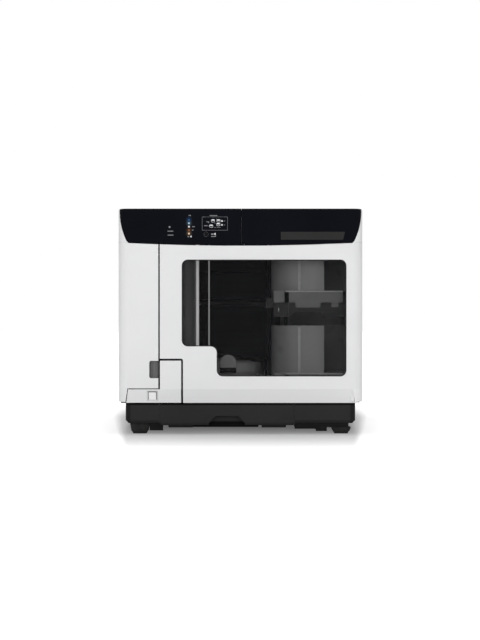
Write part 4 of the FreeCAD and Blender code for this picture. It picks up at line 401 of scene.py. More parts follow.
mark_dim = ink("grey_print", (0.20, 0.203, 0.21), (0.25, 0.253, 0.26))
# painted shade: black for dark bands that stand in for shadow at the window's edge and in the drawer's gaps
shade_black = ink("painted_shade_black", (0.006, 0.006, 0.006), (0.009, 0.009, 0.009))


# ================ making pieces
def placed(name, data):
    """New object in the scene."""
    thing = bpy.data.objects.new(name, data)
    bpy.context.scene.collection.objects.link(thing)
    return thing


def baked(draft):
    """Mesh of a draft with its modifiers applied; the draft itself goes."""
    made = bpy.data.meshes.new_from_object(draft.evaluated_get(bpy.context.evaluated_depsgraph_get()))
    bpy.data.objects.remove(draft)
    return made


def into_object(mesh, name, material, body):
    """Object for a finished mesh, riding on its body."""
    piece = placed(name, mesh)
    mesh.materials.clear()
    mesh.materials.append(material)
    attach(piece, body)
    return piece


def smooth_below(mesh, degrees):
    """Shade smooth, with edges sharper than the angle kept crisp."""
    mesh.shade_smooth()
    mesh.set_sharp_from_angle(angle=math.radians(degrees))


def flattened(mesh):
    """Copy of a mesh whose broad faces shade flat and whose broken edges take up the turn."""
    draft = placed("draft", mesh)
    weigh = draft.modifiers.new("normals", "WEIGHTED_NORMAL")
    weigh.keep_sharp = True
    weigh.weight = 90
    return baked(draft)


def merged_copy(node):
    """A CAD node's surface as one welded mesh with its flat faces rebuilt."""
    mesh = nodes[node].data.copy()
    shape = bmesh.new()
    shape.from_mesh(mesh)
    bmesh.ops.remove_doubles(shape, verts=shape.verts, dist=2e-6)
    bmesh.ops.dissolve_limit(shape, angle_limit=math.radians(0.6), verts=shape.verts, edges=shape.edges,
                             delimit={"NORMAL"})
    return mesh, shape


def dressed(node, edge, material, crease, shift, walls):
    """Stand-in for a CAD node with broken edges and smooth curves, in its own finish.

    Faces that the walls test picks out get seam_shade: painted shade on the walls of a seam.
    """
    mesh, shape = merged_copy(node)
    if shift is not None:
        shift(shape)
    shape.to_mesh(mesh)
    shape.free()
    draft = placed("draft", mesh)
    bevel = draft.modifiers.new("edges", "BEVEL")
    bevel.width = edge
    bevel.segments = 2
    bevel.limit_method = "ANGLE"
    bevel.angle_limit = math.radians(32.0)
    made = baked(draft)
    smooth_below(made, crease)
    made = flattened(made)
    slot = slot_of[node]
    piece = into_object(made, node + "_finished", material or finishes[slot], body_of[node])
    if walls is not None:
        made.materials.append(seam_shade)
        for face in made.polygons:
            face.material_index = int(walls(face.center, face.normal))
    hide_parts(node)
    return piece


# ================ drawing in millimetres
views = {"front": lambda u, v, depth: (u, depth, v),
         "plan": lambda u, v, depth: (u, v, depth),
         "side": lambda u, v, depth: (depth, u, v)}


class Draft:
    """Closed solids built in millimetres and kept in one mesh."""

    def __init__(self):
        self.shape = bmesh.new()

    def ring(self, points, view, depth):
        return [self.shape.verts.new(views[view](u, v, depth)) for u, v in points]

    def skin(self, first, second):
        """Quads between two rings of points."""
        for i in range(len(first)):
            self.shape.faces.new((first[i], first[i - 1], second[i - 1], second[i]))

    def prism(self, points, view, low, high):
        """Plate with any outline, between two depths."""
        near, far = self.ring(points, view, low), self.ring(points, view, high)
        self.shape.faces.new(near)
        self.shape.faces.new(far)
        self.skin(near, far)

    def box(self, x0, y0, z0, x1, y1, z1):
        self.prism(rectangle(x0, y0, x1, y1), "plan", z0, z1)

    def frame(self, outer, inner, view, low, high):
        """Closed band between two outlines with as many points each."""
        loops = [self.ring(outer, view, low), self.ring(outer, view, high),
                 self.ring(inner, view, high), self.ring(inner, view, low)]
        for i, loop in enumerate(loops):
            self.skin(loops[i - 1], loop)

    def turned(self, profile, centre, view, steps):
        """Solid of revolution from (radius, depth) pairs; a radius of 0 closes an end."""
        cx, cy = centre
        last = None
        for radius, depth in profile:
            points = circle(cx, cy, radius, steps) if radius else [(cx, cy)]
            ring = self.ring(points, view, depth)
            if last and len(last) == len(ring):
                self.skin(last, ring)
            elif last:
                point, loop = (last[0], ring) if len(last) == 1 else (ring[0], last)
                for i in range(len(loop)):
                    self.shape.faces.new((loop[i], loop[i - 1], point))
            last = ring

    def turn_about(self, point, radians):
        """Turn all that has been built so far round an upright axis."""
        centre = Matrix.Translation(point)
        self.shape.transform(centre @ Matrix.Rotation(radians, 4, "Z") @ centre.inverted())

    def mesh(self, name):
        """Finished mesh in metres, its faces outwards."""
        bmesh.ops.remove_doubles(self.shape, verts=self.shape.verts, dist=1e-4)
        bmesh.ops.recalc_face_normals(self.shape, faces=self.shape.faces)
        self.shape.transform(Matrix.Scale(mm, 4))
        mesh = bpy.data.meshes.new(name)
        self.shape.to_mesh(mesh)
        self.shape.free()
        return mesh


def rounded_outline(corners, steps=6):
    """Points of an outline given as (u, v, corner radius)."""
    points = []
    for i, (u, v, radius) in enumerate(corners):
        here = Vector((u, v))
        before = (Vector(corners[i - 1][:2]) - here).normalized()
        after = (Vector(corners[(i + 1) % len(corners)][:2]) - here).normalized()
        half = before.angle(after) / 2
        middle = here + (before + after).normalized() * (radius / math.sin(half))
        start = (here + before * (radius / math.tan(half))) - middle
        stop = (here + after * (radius / math.tan(half))) - middle
        sweep = start.angle_signed(stop)
        for k in range(steps + 1):
            points.append(tuple(middle + Matrix.Rotation(-sweep * k / steps, 2) @ start))
    return points


def circle(cu, cv, radius, steps=20, stretch=1.0):
    turn = [2 * math.pi * i / steps for i in range(steps)]
    return [(cu + radius * math.cos(a), cv + radius * stretch * math.sin(a)) for a in turn]


def rectangle(u0, v0, u1, v1):
    return [(u0, v0), (u1, v0), (u1, v1), (u0, v1)]


def rounded_rectangle(u0, v0, u1, v1, radius, steps):
    return rounded_outline([(u, v, radius) for u, v in rectangle(u0, v0, u1, v1)], steps)


# ================ patterns
class Pattern:
    """A Geometry Nodes tree that repeats a shape, made real and given its finish at the end."""

    def __init__(self, name, **inputs):
        self.tree = bpy.data.node_groups.new(name, "GeometryNodeTree")
        face = self.tree.interface
        face.new_socket("Geometry", in_out="INPUT", socket_type="NodeSocketGeometry")
        for label, kind in inputs.items():
            face.new_socket(label, in_out="INPUT", socket_type="NodeSocket" + kind)
        face.new_socket("Geometry", in_out="OUTPUT", socket_type="NodeSocketGeometry")
        self.given = self.tree.nodes.new("NodeGroupInput").outputs
        self.result = self.tree.nodes.new("NodeGroupOutput").inputs

    def node(self, kind, inputs=None, **settings):
        return add_node(self.tree, kind, inputs, settings).outputs

    def finish(self, points, shape, turn=None):
        """Put the shape on the points, make it real and set its finish."""
        inputs = {"Points": points, "Instance": shape}
        if turn is not None:
            inputs["Rotation"] = turn
        copies = self.node("GeometryNodeInstanceOnPoints", inputs)["Instances"]
        real = self.node("GeometryNodeRealizeInstances", {"Geometry": copies})["Geometry"]
        done = self.node("GeometryNodeSetMaterial", {"Geometry": real, "Material": self.given["Finish"]})
        self.tree.links.new(done["Geometry"], self.result["Geometry"])
        return self.tree

    def run(self, mesh, name, material, body, slot, **values):
        """Repeat a mesh and keep the result as one plain piece on a body."""
        draft = placed("draft", mesh)
        modifier = draft.modifiers.new("pattern", "NODES")
        modifier.node_group = self.tree
        values["Finish"] = material
        for item in self.tree.interface.items_tree:
            if item.in_out == "INPUT" and item.name in values:
                modifier[item.identifier] = values[item.name]
        made = baked(draft)
        smooth_below(made, 30.0)
        into_object(made, name, material, body)


def row_pattern():
    """A shape repeated along a straight line."""
    p = Pattern("row", Count="Int", Step="Vector", Finish="Material")
    line = p.node("GeometryNodeMeshLine", {"Count": p.given["Count"], "Offset": p.given["Step"]})["Mesh"]
    p.finish(line, p.given["Geometry"])
    return p


def ring_pattern():
    """A shape repeated round an axis through a centre, by a fixed angle each time."""
    p = Pattern("ring", Count="Int", Centre="Vector", Axis="Vector", Angle="Float", Finish="Material")
    line = p.node("GeometryNodeMeshLine", {"Count": p.given["Count"], "Start Location": p.given["Centre"],
                                           "Offset": (0, 0, 0)})["Mesh"]
    index = p.node("GeometryNodeInputIndex")[0]
    angle = p.node("ShaderNodeMath", {0: index, 1: p.given["Angle"]}, operation="MULTIPLY")[0]
    turn = p.node("FunctionNodeAxisAngleToRotation", {"Axis": p.given["Axis"], "Angle": angle})[0]
    p.finish(line, p.given["Geometry"], turn)
    return p


def place_pattern():
    """The points of a mesh, each with a copy of one shape, turned by the points' own turn."""
    p = Pattern("places", Shape="Object", Finish="Material")
    shape = p.node("GeometryNodeObjectInfo", {"Object": p.given["Shape"]})["Geometry"]
    turn = p.node("GeometryNodeInputNamedAttribute", {"Name": "turn"}, data_type="FLOAT_VECTOR")["Attribute"]
    p.finish(p.given["Geometry"], shape, turn)
    return p


def at_places(shape_mesh, spots, name, material, body, slot):
    """Copies of a shape at (point in mm, turn in radians) pairs."""
    points = bpy.data.meshes.new("places")
    points.from_pydata([Vector(where) * mm for where, _ in spots], [], [])
    turn = points.attributes.new("turn", "FLOAT_VECTOR", "POINT")
    for item, (_, angles) in zip(turn.data, spots):
        item.vector = angles
    shape = placed("shape", shape_mesh)
    places.run(points, name, material, body, slot, Shape=shape)
    bpy.data.objects.remove(shape)


# ================ stage
def aimed(thing, eye, target):
    """Point a lamp or camera from one place at another."""
    thing.location = eye
    thing.rotation_euler = (Vector(target) - Vector(eye)).to_track_quat("-Z", "Y").to_euler()


def set_camera():
    """Long-lens view of the front, from just above its middle."""
    camera = placed("camera", bpy.data.cameras.new("camera"))
    eye = Vector((eye_x, front_face - camera_distance, eye_height))
    aim = Vector((eye_x, front_face, aim_height))
    aimed(camera, eye, aim)
    camera.data.sensor_fit = "VERTICAL"
    camera.data.sensor_height = sensor_high
    camera.data.lens = sensor_high * (aim - eye).length / (picture_h * pixel_size)
    camera.data.clip_end = 30.0
    bpy.context.scene.camera = camera


def soft_lamp(name, eye, target, size, watts, mirrored=True):
    """Large soft lamp, which polished faces mirror or not."""
    light = bpy.data.lights.new(name, "AREA")
    light.shape = "RECTANGLE"
    light.size, light.size_y = size
    light.energy = watts
    lamp = placed(name, light)
    lamp.visible_glossy = mirrored
    aimed(lamp, eye, target)


def set_stage():
    """White floor with a soft shadow painted into its colour and glow, white surroundings and soft lamps."""
    mesh = bpy.data.meshes.new("floor")
    mesh.from_pydata([(-12, -12, 0), (12, -12, 0), (12, 12, 0), (-12, 12, 0)], [], [(0, 1, 2, 3)])
    floor = placed("floor", mesh)
    f = Finish("pale_floor", Roughness=0.9, Specular_IOR_Level=0.0)
    away = shadow_reach(f)
    tone = f.mixed(f.spread(f.noise(3.0, 2.0), 0, 1), (0.86, 0.86, 0.86), (0.88, 0.88, 0.88))
    # painted shadow: the floor's colour darkens under and round the part, and its glow is lower there
    f.colour(f.product(tone, f.mixed(f.spread(away, *floor_shadow_tone), (0, 0, 0), (1, 1, 1))))
    far = f.node("ShaderNodeVectorMath", {0: f.place}, operation="LENGTH").outputs["Value"]
    level = f.reckon("ADD", f.spread(away, *floor_shadow_glow), f.spread(far, *floor_far))
    glow = f.reckon("MULTIPLY", seen_directly(f), level)
    f.tree.links.new(glow, f.shader.inputs["Emission Strength"])
    f.shader.inputs["Emission Color"].default_value = (1, 1, 1, 1)
    mesh.materials.append(f.material)

    world = bpy.data.worlds.new("surroundings")
    bpy.context.scene.world = world
    world.use_nodes = True
    tree = world.node_tree
    background = tree.nodes["Background"]
    background.inputs["Color"].default_value = (1, 1, 1, 1)
    w = Finish.around(tree)
    level = w.spread(seen_directly(w), 0.48, 1.0, 0, 1)
    tree.links.new(level, background.inputs["Strength"])

    middle = Vector((0, 0, 0.17))
    soft_lamp("key", (-0.55, -2.7, 0.5), middle, (1.2, 0.9), 16.4, False)
    soft_lamp("fill", (0.6, -2.7, 0.5), middle, (1.2, 0.9), 13, False)
    soft_lamp("overhead", (0.0, 0.4, 2.2), middle, (1.8, 1.6), 15)


def shadow_reach(f):
    """0 on the floor under the part, rising to 1 where its soft shadow ends."""
    part = f.node("ShaderNodeSeparateXYZ", {0: f.node("ShaderNodeVectorMath", {0: f.place},
                                                      operation="ABSOLUTE").outputs[0]})
    depth = f.node("ShaderNodeSeparateXYZ", {0: f.place}).outputs["Y"]
    across = f.reckon("MULTIPLY_ADD", depth, -shadow_lean, part.outputs["X"])
    edge = f.reckon("MULTIPLY_ADD", depth, shadow_flare, shadow_outer)
    reach = f.node("ShaderNodeCombineXYZ", {
        "X": f.spread(across, 0, 1, shadow_inner, edge),
        "Y": f.spread(part.outputs["Y"], 0, 1, shadow_near, shadow_far)})
    away = f.node("ShaderNodeVectorMath", {0: reach.outputs[0]}, operation="LENGTH").outputs["Value"]
    return f.spread(away, 0, 1, 0, 1)


def seen_directly(f):
    """1 for a ray that shows the surroundings: from the camera, in a gloss or through glass."""
    path = f.node("ShaderNodeLightPath").outputs
    either = f.reckon("MAXIMUM", path["Is Camera Ray"], path["Is Glossy Ray"])
    return f.reckon("MAXIMUM", either, path["Is Transmission Ray"])


bpy.context.scene.view_settings.view_transform = "Standard"
set_camera()
set_stage()

row, ring, places = row_pattern(), ring_pattern(), place_pattern()


# ================ panels and their marks
def set_back(shape):
    """Move a panel's front face back by the thickness of its marks."""
    for vert in shape.verts:
        if vert.co.y < (front_mm + 0.02) * mm:
            vert.co.y += panel_set_back * mm


def close_seam(shape):
    """Bring a side cover's corner down to the front covers, so that their joint hardly shows."""
    for vert in shape.verts:
        if vert.co.y < -0.2 and abs(vert.co.z / mm - cover_corner) < 0.3:
            vert.co.z = cover_seam * mm


def in_seam(centre, normal):
    """Whether a face of a front cover lines the seam to its neighbour."""
    x, z = centre.x / mm, centre.z / mm
    framed = window_left - frame_w < x < window_right + frame_w and frame_low < z < frame_high
    return abs(normal.y) < seam_turn and centre.y < seam_front * mm and abs(x) <= cover_end and not framed


def in_panel_seam(centre, normal):
    """Whether a face lines the seam between the two front panels."""
    return abs(normal.x) > 0.3 and abs(centre.x / mm - panel_seam) < panel_seam_half


def plain_piece(draft, name, material, body):
    """Piece from a draft, as it was drawn."""
    mesh = draft.mesh(name)
    smooth_below(mesh, 35.0)
    into_object(mesh, name, material, body)


class Print:
    """Marks printed on a face that looks forwards."""

    def __init__(self, face=front_mm):
        self.draft, self.near, self.far = Draft(), face, face + print_depth

    def shape(self, points):
        self.draft.prism(points, "front", self.near, self.far)

    def bar(self, x0, z0, x1, z1):
        self.shape(rectangle(x0, z0, x1, z1))

    def hoop(self, outer, inner):
        self.draft.frame(outer, inner, "front", self.near, self.far)

    def dashes(self, x, z, widths, high):
        """Short bars in a line, in place of a word."""
        for wide in widths:
            self.bar(x, z - high / 2, x + wide, z + high / 2)
            x += wide + dash_gap

    def disc_pile(self, x, z, wide=5.6, high=4.6):
        """Pictogram of a pile of discs: a filled lid over an outlined drum."""
        lid = wide * 0.19
        self.shape(circle(x, z + high / 2 - lid, wide / 2, 20, 0.38))
        for side in (-1, 1):
            edge = x + side * (wide / 2 - 0.2)
            self.bar(edge - 0.2, z - high / 2 + lid, edge + 0.2, z + high / 2 - lid)
        low = [(x + wide / 2 * math.cos(a), z - high / 2 + lid * (1 + math.sin(a)))
               for a in [math.pi + math.pi * i / 10 for i in range(11)]]
        inner = [(x + (u - x) * 0.86, v + 0.42) for u, v in reversed(low)]
        self.shape(low + inner)

    def finish(self, name, material, body, slot):
        plain_piece(self.draft, name, material, body)


def control_marks():
    """Screen print of the control panel: label dashes, lamp signs, the diagram and the key's sign."""
    pale, dim = Print(), Print()
    dim.dashes(-111.9, 313.1, (1.3, 0.9, 1.2, 0.9, 1.5, 1.0), 1.5)
    dim.dashes(-111.9, 307.0, (1.1, 1.3, 0.9, 1.2, 1.4, 1.1), 1.5)
    dim.dashes(-79.6, 337.2, (0.9, 1.1, 0.8), 1.7)
    dim.dashes(-74.2, 320.0, (1.2, 0.9, 1.0), 1.5)
    dim.dashes(-74.6, 314.8, (0.8, 1.0), 1.6)
    dim.dashes(-81.2, 304.6, (1.0, 1.1), 1.6)
    pale.shape(drop(-76.0, 304.6, 1.0))
    dim.hoop(rectangle(-59.0, 314.4, -19.7, 335.2), rectangle(-58.65, 314.75, -20.05, 334.85))
    dim.dashes(-47.2, 337.0, (1.8, 1.3, 2.0, 1.5, 1.7, 1.6), 1.3)
    for x, z in ((-42.2, 329.0), (-33.7, 329.0), (-45.0, 321.0), (-34.0, 323.4)):
        pale.disc_pile(x, z)
    for x0, z0, x1, z1 in ((-52.4, 327.0, -48.4, 328.0), (-49.2, 325.6, -48.2, 327.0),
                           (-56.0, 320.9, -51.2, 322.0), (-50.4, 320.6, -49.6, 322.2),
                           (-40.4, 318.4, -37.4, 319.0), (-36.0, 318.6, -30.6, 319.2),
                           (-39.6, 324.9, -38.2, 325.5)):
        dim.bar(x0, z0, x1, z1)
    for z in (328.7, 322.7):
        pale.shape([(-30.0, z), (-28.4, z - 1.6), (-26.8, z), (-28.4, z + 1.6)])
        dim.bar(-25.8, z - 0.4, -23.6, z + 0.4)
    dim.hoop(circle(key_x, key_z, 3.6, 28), circle(key_x, key_z, 3.45, 28))
    pale.shape([(-41.2, 309.0), (-38.2, 306.6), (-38.2, 310.6)])
    pale.bar(-44.8, 308.2, -41.6, 309.0)
    dim.dashes(-44.8, 305.0, (1.6, 1.2, 1.9, 1.3), 1.5)
    pale.finish("panel_signs", mark_bright, "cabinet", "black_gloss")
    dim.finish("panel_dashes", mark_dim, "cabinet", "black_gloss")


def drop(x, z, size):
    """Outline of an ink drop."""
    low = [(x + size * math.cos(a), z + size * math.sin(a)) for a in
           [math.radians(150 + 240 * i / 14) for i in range(15)]]
    return low + [(x, z + 2.3 * size)]


def numeral(text, y, z, name, body):
    """Stamped numeral on a face that looks forwards."""
    curve = bpy.data.curves.new(name, "FONT")
    curve.body = text
    curve.size = numeral_h * mm
    curve.align_x = "CENTER"
    curve.extrude = 0.03 * mm
    mesh = baked(placed("draft", curve))
    place = Matrix.Translation(Vector((numeral_x, y, z)) * mm)
    mesh.transform(place @ Matrix.Rotation(math.radians(90), 4, "X"))
    into_object(mesh, name, mark_bright, body)


def window_outline(grow):
    """Outline of the window, grown outwards by some millimetres."""
    left, step, right = window_left - grow, lobe_step - grow, window_right + grow
    low, lobe, high = window_low - grow, lobe_low - grow, window_high + grow
    convex, hollow = window_r + grow, window_r - grow
    return rounded_outline([(left, lobe, convex), (step, lobe, hollow), (step, low, convex),
                            (right, low, convex), (right, high, convex), (left, high, convex)])


def shade_window_edge():
    """Dark band round the edge of the smoked pane: painted shade where the window's edge is shadowed."""
    y = front_mm + pane_recess
    window_shade = Draft()
    window_shade.frame(window_outline(-0.3), window_outline(-0.3 - window_shade_w), "front", y - print_depth, y)
    plain_piece(window_shade, "window_border", shade_black, "disc_door")


# ================ inside
def stacker_trim(number):
    """A stacker's rail and upright ribs in a lighter grey, a painted highlight; a dark strip of painted shade
    by the grip; and the upper one's latch.
    """
    z0 = shelf_top if number == 1 else seat_top
    body = ("upper_stacker", "lower_stacker")[number - 1]
    cx, cy = stack_axis
    y = stacker_front
    rail = Draft()
    rail.prism(rounded_rectangle(y - 0.5, z0 + cup_base - rail_h, y + 0.4, z0 + cup_base, 0.4, 2),
               "side", rail_left, rail_right)
    plain_piece(rail, f"stacker_{number}_rail", stacker_highlight, body)
    rib = Draft()
    face = [(cx + r * math.cos(a), cy + r * math.sin(a)) for r, a in
            ((cup_outer - 0.2, -rib_half), (cup_outer + 0.5, -rib_half * 0.8),
             (cup_outer + 0.5, rib_half * 0.8), (cup_outer - 0.2, rib_half))]
    rib.prism(face, "plan", z0 + cup_base + 0.5, z0 + cup_base + rib_h)
    rib.turn_about((cx, cy, 0), rib_turn)
    about = Vector((cx, cy, 0)) * mm
    mesh = rib.mesh("rib")
    mesh.transform(Matrix.Translation(-about))
    ring.run(mesh, f"stacker_{number}_ribs", stacker_highlight, body, "smoked_cup", Count=2, Centre=about,
             Axis=(0, 0, 1), Angle=rib_apart)
    # painted shade: a dark strip in front of the grip's left side, where its recess is shadowed
    grip_shade = Draft()
    grip_shade.box(69.4, y - 0.12, z0 + 0.6, 75.6, y - 0.02, z0 + cup_base - 2.4)
    plain_piece(grip_shade, f"stacker_{number}_slit", seam_shade, body)
    if number == 1:
        latch = Draft()
        latch.box(142.0, -199.8, 196.4, 153.0, -198.4, 206.0)
        latch.box(142.0, -198.6, 203.8, 153.0, -195.9, 206.0)
        plain_piece(latch, "stacker_1_latch", finishes["smoked_cup"], body)


def shelf_trim():
    """Numerals on the shelf and the seat, painted shade on the lower part of the bin's tab, and the pin below
    the shelf.
    """
    face = stacker_front - seat_lead - 0.03
    numeral("1", face, 189.6, "shelf_numeral", "cabinet")
    numeral("2", face, 58.0, "seat_numeral", "cabinet")
    # painted shade: a dark sheet over the lower part of the bin's tab
    foot = Draft()
    foot.box(-32.2, -160.16, 92.2, -6.8, -160.05, 100.4)
    plain_piece(foot, "bin_tab_foot", seam_shade, "low_bin")
    pin = Draft()
    pin.turned([(0, 168.2), (0.45, 168.2), (0.45, 203.0), (0, 203.0)], (75.4, -198.4), "plan", 10)
    plain_piece(pin, "shelf_pin", finishes["arm_grey"], "cabinet")


def loader_belt():
    """Toothed belt that lifts the arm, beside the column."""
    turn = Matrix.Translation(Vector((*loader_axis, 0)) * mm) @ Matrix.Rotation(loader_rest, 4, "Z")
    band = Draft()
    band.box(-18.0, 7.8, belt_low, -13.4, 8.6, belt_high)
    mesh = band.mesh("belt_band")
    mesh.transform(turn)
    into_object(mesh, "loader_belt_band", belt_rubber, "loader_post")
    tooth = Draft()
    profile = [(8.5, 0.4), (9.2, 0.7), (9.2, 1.3), (8.5, 1.6)]
    tooth.prism([(v, belt_low + w) for v, w in profile], "side", -17.9, -13.5)
    mesh = tooth.mesh("tooth")
    mesh.transform(turn)
    row.run(mesh, "loader_belt_teeth", belt_rubber, "loader_post", "foot_rubber",
            Count=belt_teeth, Step=(0, 0, belt_pitch * mm))


def cartridge_labels():
    """Coloured labels on the fronts of the cartridges, each with a drop sign."""
    label = Draft()
    x0, x1 = ink_x + 6.4, ink_x + ink_w - 6.4
    z0, z1 = ink_low + 5.4, ink_low + ink_h - 5.4
    label.prism(rounded_rectangle(x0, z0, x1, z1, 1.2, 3), "front", ink_face + 0.1, ink_face + 0.52)
    row.run(label.mesh("label"), "cartridge_labels", ink_bands, "cabinet", "ink_case", Count=6,
            Step=(0, 0, ink_pitch * mm))
    sign = Draft()
    sign.prism(drop((x0 + x1) / 2, (z0 + z1) / 2 - 1.6, 3.4), "front", ink_face + 0.04, ink_face + 0.12)
    row.run(sign.mesh("sign"), "cartridge_signs", mark_bright, "cabinet", "ink_case", Count=6,
            Step=(0, 0, ink_pitch * mm))


def drive_trim():
    """Lamps of the recorders' bezels and the signs on their eject buttons."""
    lenses = Draft()
    for z in drive_lows:
        lenses.turned([(0, bezel_y + 0.45), (0.9, bezel_y + 0.45), (0.9, bezel_y + 0.1), (0.6, bezel_y - 0.1),
                       (0, bezel_y - 0.15)], (drive_left + 20.0, z + 8.0), "front", 16)
    plain_piece(lenses, "recorder_lamps", lamp_green, "cabinet")
    x = drive_right - 24.0
    for z, body in zip(drive_lows, ("upper_eject", "lower_eject")):
        sign = Print(bezel_y - 1.0 - print_depth)
        sign.shape([(x - 1.1, z + 7.3), (x + 1.1, z + 7.3), (x, z + 8.8)])
        sign.bar(x - 1.1, z + 6.4, x + 1.1, z + 6.8)
        sign.finish(body + "_sign", mark_dim, body, "tray_black")


def power_outline():
    """Dark band round the power key, widest above it: painted shade in the gap round the key."""
    cx, cz = -135.6, 60.1
    slope = math.atan2(slope_in, slope_h)
    key_gap_shade = Draft()
    for x0, z0, x1, z1 in ((-6.6, -6.2, -5.95, 6.9), (5.95, -6.2, 6.8, 6.9), (-6.6, 5.95, 6.8, 6.9)):
        key_gap_shade.box(x0, -0.5, z0, x1, -0.3, z1)
    key_gap_shade.shape.transform(Matrix.Rotation(slope, 4, "X"))
    key_gap_shade.shape.transform(Matrix.Translation((cx, slope_y(cz), cz)))
    plain_piece(key_gap_shade, "power_outline", key_shade_grey, "cabinet")


def slope_y(z):
    """Depth of the lower band's face at a height, in millimetres."""
    return front_mm + (slope_top - z) * slope_in / slope_h


def skirts():
    """Low black strips under the base and the drawer, the drawer's one darkened with painted shade, and dark
    strips of painted shade in the gaps beside the drawer.
    """
    low = Draft()
    for x0, z0, x1 in ((-141.0, 5.0, -120.0), (84.0, 7.6, 117.0), (117.0, 4.0, 134.0)):
        low.box(x0, -212.0, z0, x1, -210.4, 17.4)
    plain_piece(low, "base_skirts", finishes["black_base"], "cabinet")
    strip = Draft()
    # the drawer's strip takes seam_shade: painted shade for the dark notch under the drawer
    strip.box(-74.0, -210.0, 10.2, 28.0, -208.8, 17.6)
    plain_piece(strip, "drawer_skirt", seam_shade, "drawer")
    # painted shade: black strips in the gaps beside the drawer
    gaps = Draft()
    for x0, x1 in ((-126.2, -123.75), (81.95, 84.2)):
        gaps.box(x0, base_front - 0.04, 17.6, x1, base_front + 0.04, 47.6)
    plain_piece(gaps, "drawer_gap_shade", shade_black, "cabinet")


# ================ sides and back
def louvre_slats(side):
    """Slanted slats behind the slots of a side cover."""
    outer = side * (side_mm - 2.6)
    slat = Draft()
    z = louvre_z - 3.4
    profile = [(0, 0), (0, 1.2), (6.0, 6.4), (6.0, 5.2)]
    slat.prism([(outer - side * u, z + v) for u, v in profile], "front", louvre_y - 1.5,
               louvre_y + louvre_len + 1.5)
    name = "left_slats" if side < 0 else "right_slats"
    row.run(slat.mesh(name), name, finishes["black_inner"], "cabinet", "black_inner", Count=louvre_count,
            Step=(0, 0, louvre_pitch * mm))


def cross(steps, reach, half):
    """Outline of a cross-shaped recess, with one point for each direction."""
    points = []
    for i in range(steps):
        a = 2 * math.pi * (i + 0.5) / steps
        c, s = abs(math.cos(a)), abs(math.sin(a))
        away = max(min(reach / c, half / s), min(reach / s, half / c))
        points.append((away * math.cos(a), away * math.sin(a)))
    return points


def screw_head():
    """Pan head with a cross recess, its axis along Y and its foot at the origin."""
    radius, high, steps = 2.9, 1.0, 32
    turn = [2 * math.pi * (i + 0.5) / steps for i in range(steps)]
    head = Draft()
    rim = ((radius, 0), (radius, high * 0.45), (radius * 0.9, high * 0.85), (radius * 0.72, high))
    loops = [head.ring([(r * math.cos(a), r * math.sin(a)) for a in turn], "front", y) for r, y in rim]
    loops.append(head.ring(cross(steps, radius * 0.55, radius * 0.13), "front", high))
    loops.append(head.ring(cross(steps, radius * 0.4, radius * 0.1), "front", high - 0.7))
    for first, second in zip(loops, loops[1:]):
        head.skin(first, second)
    head.shape.faces.new(loops[0])
    head.shape.faces.new(loops[-1])
    return head.mesh("screw_head")


def rear_screws():
    """Screws of the rear cover, each turned its own way."""
    spots = [((x, back_mm - screw_sink, z), (0, 0.4 + 0.7 * i, 0))
             for i, (x, z) in enumerate((x, z) for x in screw_x for z in screw_z)]
    at_places(screw_head(), spots, "rear_screws", zinc_screw, "cabinet", "motor_steel")


def socket_contacts():
    """Plated blades of the mains inlet and contacts of the data socket."""
    blades = Draft()
    for x, z in ((133.0, 82.0), (147.0, 82.0), (140.0, 86.5)):
        blades.box(x - 1.06, back_mm - 5.0, z - 2.06, x + 1.06, back_mm - 1.14, z + 2.06)
    plain_piece(blades, "inlet_blades", plated, "cabinet")
    contact = Draft()
    contact.box(86.4, back_mm - 11.0, 140.55, 87.4, back_mm - 3.4, 140.75)
    row.run(contact.mesh("contact"), "data_contacts", plated, "cabinet", "motor_steel", Count=2,
            Step=(2.2 * mm, 0, 0))


# ================ finishes of single pieces
# painted highlight: a lighter copy of the stackers' grey for the rails and ribs, where bevels and ribs catch
# the light
stacker_highlight = polished("stacker_painted_highlight", (0.44, 0.44, 0.443), (0.49, 0.49, 0.493), (0.22, 0.32))
coated_sheet = moulded("coated_sheet", (0.0125, 0.0127, 0.0136), (0.016, 0.0162, 0.0172), (0.5, 0.65),
                       grain=700.0, Specular_IOR_Level=0.03)
# painted light: the tie rod glows a little, to look bright behind the smoked pane
glowing_satin_rod = shaded("glowing_satin_rod", (0.80, 0.80, 0.80), (0.88, 0.88, 0.88), (0.3, 0.4), "X",
                   ((-75, 1), (-62, 1), (-60, 0.25), (-45, 0.25)), Emission_Strength=0.22)
glowing_satin_rod.node_tree.nodes["Principled BSDF"].inputs["Emission Color"].default_value = (1, 1, 1, 1)
burnished = ground_steel("burnished_rod", (0.03, 0.03, 0.03), (0.05, 0.05, 0.05), (0.35, 0.5), "Z")
shelf_black = moulded("shelf_moulding", (0.043, 0.043, 0.0435), (0.053, 0.053, 0.0535), (0.42, 0.58),
                      Specular_IOR_Level=0.12)
# painted shade for the gap round the power key
key_shade_grey = ink("key_shade_grey", (0.02, 0.02, 0.02), (0.03, 0.03, 0.03))
seam_shade = moulded("seam_shade", (0.006, 0.006, 0.006), (0.009, 0.009, 0.009), (0.7, 0.85),
                     Specular_IOR_Level=0.0)
belt_rubber = rubber("belt_rubber", (0.018, 0.018, 0.018), (0.028, 0.028, 0.027))
zinc_screw = ground_steel("zinc_screw", (0.42, 0.42, 0.43), (0.56, 0.56, 0.57), (0.24, 0.38), "X")
plated = ground_steel("plated_contact", (0.66, 0.6, 0.45), (0.74, 0.68, 0.52), (0.16, 0.28), "Y")
lamp_green = lit_lens("recorder_lamp", (0.02, 0.10, 0.04), 0.05)
ink_bands = banded("cartridge_label", ink_low, ink_pitch,
                   ((0.02, 0.02, 0.02), (0.0, 0.25, 0.55), (0.55, 0.02, 0.16), (0.82, 0.62, 0.01),
                    (0.25, 0.55, 0.75), (0.82, 0.35, 0.5)), (0.25, 0.4))
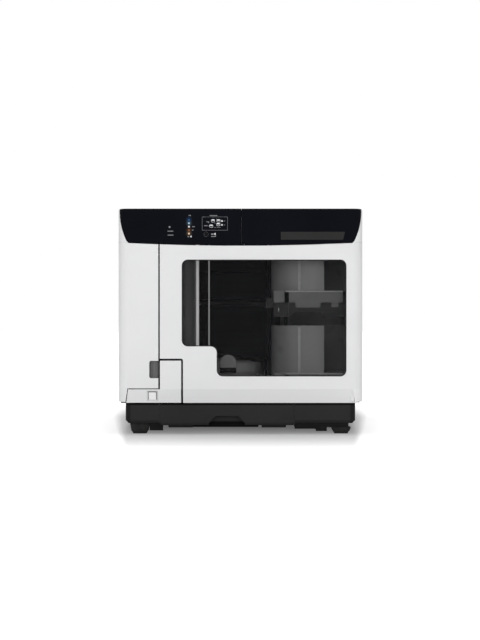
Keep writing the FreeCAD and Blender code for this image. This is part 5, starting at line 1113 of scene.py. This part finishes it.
lamp_tints = ((0.10, 0.30, 0.75), (0.55, 0.80, 1.0), (0.95, 0.97, 1.0), (0.75, 0.32, 0.14), (1.0, 0.72, 0.5))
lamp_cores, lamp_halos = (0.25, 0.75, 0.95, 0.3, 0.95), (0.06, 0.05, 0.0, 0.05, 0.05)
lamps = [(lamp_x, *rest) for rest in zip(lamp_tops, lamp_tints, lamp_cores, lamp_halos)]
lamps.append((status_x, status_z, (0.9, 0.93, 1.0), 0.35, 0.0))
lit_panel = glow_field("lit_black_panel", lamps, gloss_rough, Specular_IOR_Level=gloss_level)

# painted light and shade: a lighter copy of the white moulding for the door and corner panel, darker towards
# the top above the crease at 70 mm
shaded_door_white = shaded("door_moulding_painted_shade", (0.79, 0.795, 0.80), (0.82, 0.823, 0.825), (0.40, 0.52), "Z",
                    ((48, 1), (69.5, 1), (70.5, 0.975), (290, 0.945)))


# ================ dressing the nodes
own_finish = {"control_panel": lit_panel, "panel_lamps": lit_panel, "turret": finishes["black_inner"],
              "disc_cover": shaded_door_white, "corner_panel": shaded_door_white, "tie_rod": glowing_satin_rod,
              "guide_rod": burnished, "stacker_shelf": shelf_black, "stacker_seat": shelf_black}
for node in ("bay_partition", "right_wall", "deck_plate", "drive_cage", "drive_case_1", "drive_case_2"):
    own_finish[node] = coated_sheet
fine_edges = {"cover_window": 0.2 * mm, "panel_lamps": 0.5 * mm, "indicator_strip": 0.15 * mm}
creases = {"disc_cover": 13.0, "corner_panel": 13.0}
shifts = {"control_panel": set_back, "left_cover": close_seam, "right_cover": close_seam}
seam_walls = {"disc_cover": in_seam, "ink_cover": in_seam, "corner_panel": in_seam,
              "control_panel": in_panel_seam, "right_panel": in_panel_seam}
for node in nodes:
    dressed(node, edge=fine_edges.get(node, plain_edge), material=own_finish.get(node),
            crease=creases.get(node, plain_crease), shift=shifts.get(node), walls=seam_walls.get(node))

control_marks()
shade_window_edge()
stacker_trim(1)
stacker_trim(2)
shelf_trim()
loader_belt()
cartridge_labels()
drive_trim()
power_outline()
skirts()
louvre_slats(-1)
louvre_slats(1)
rear_screws()
socket_contacts()
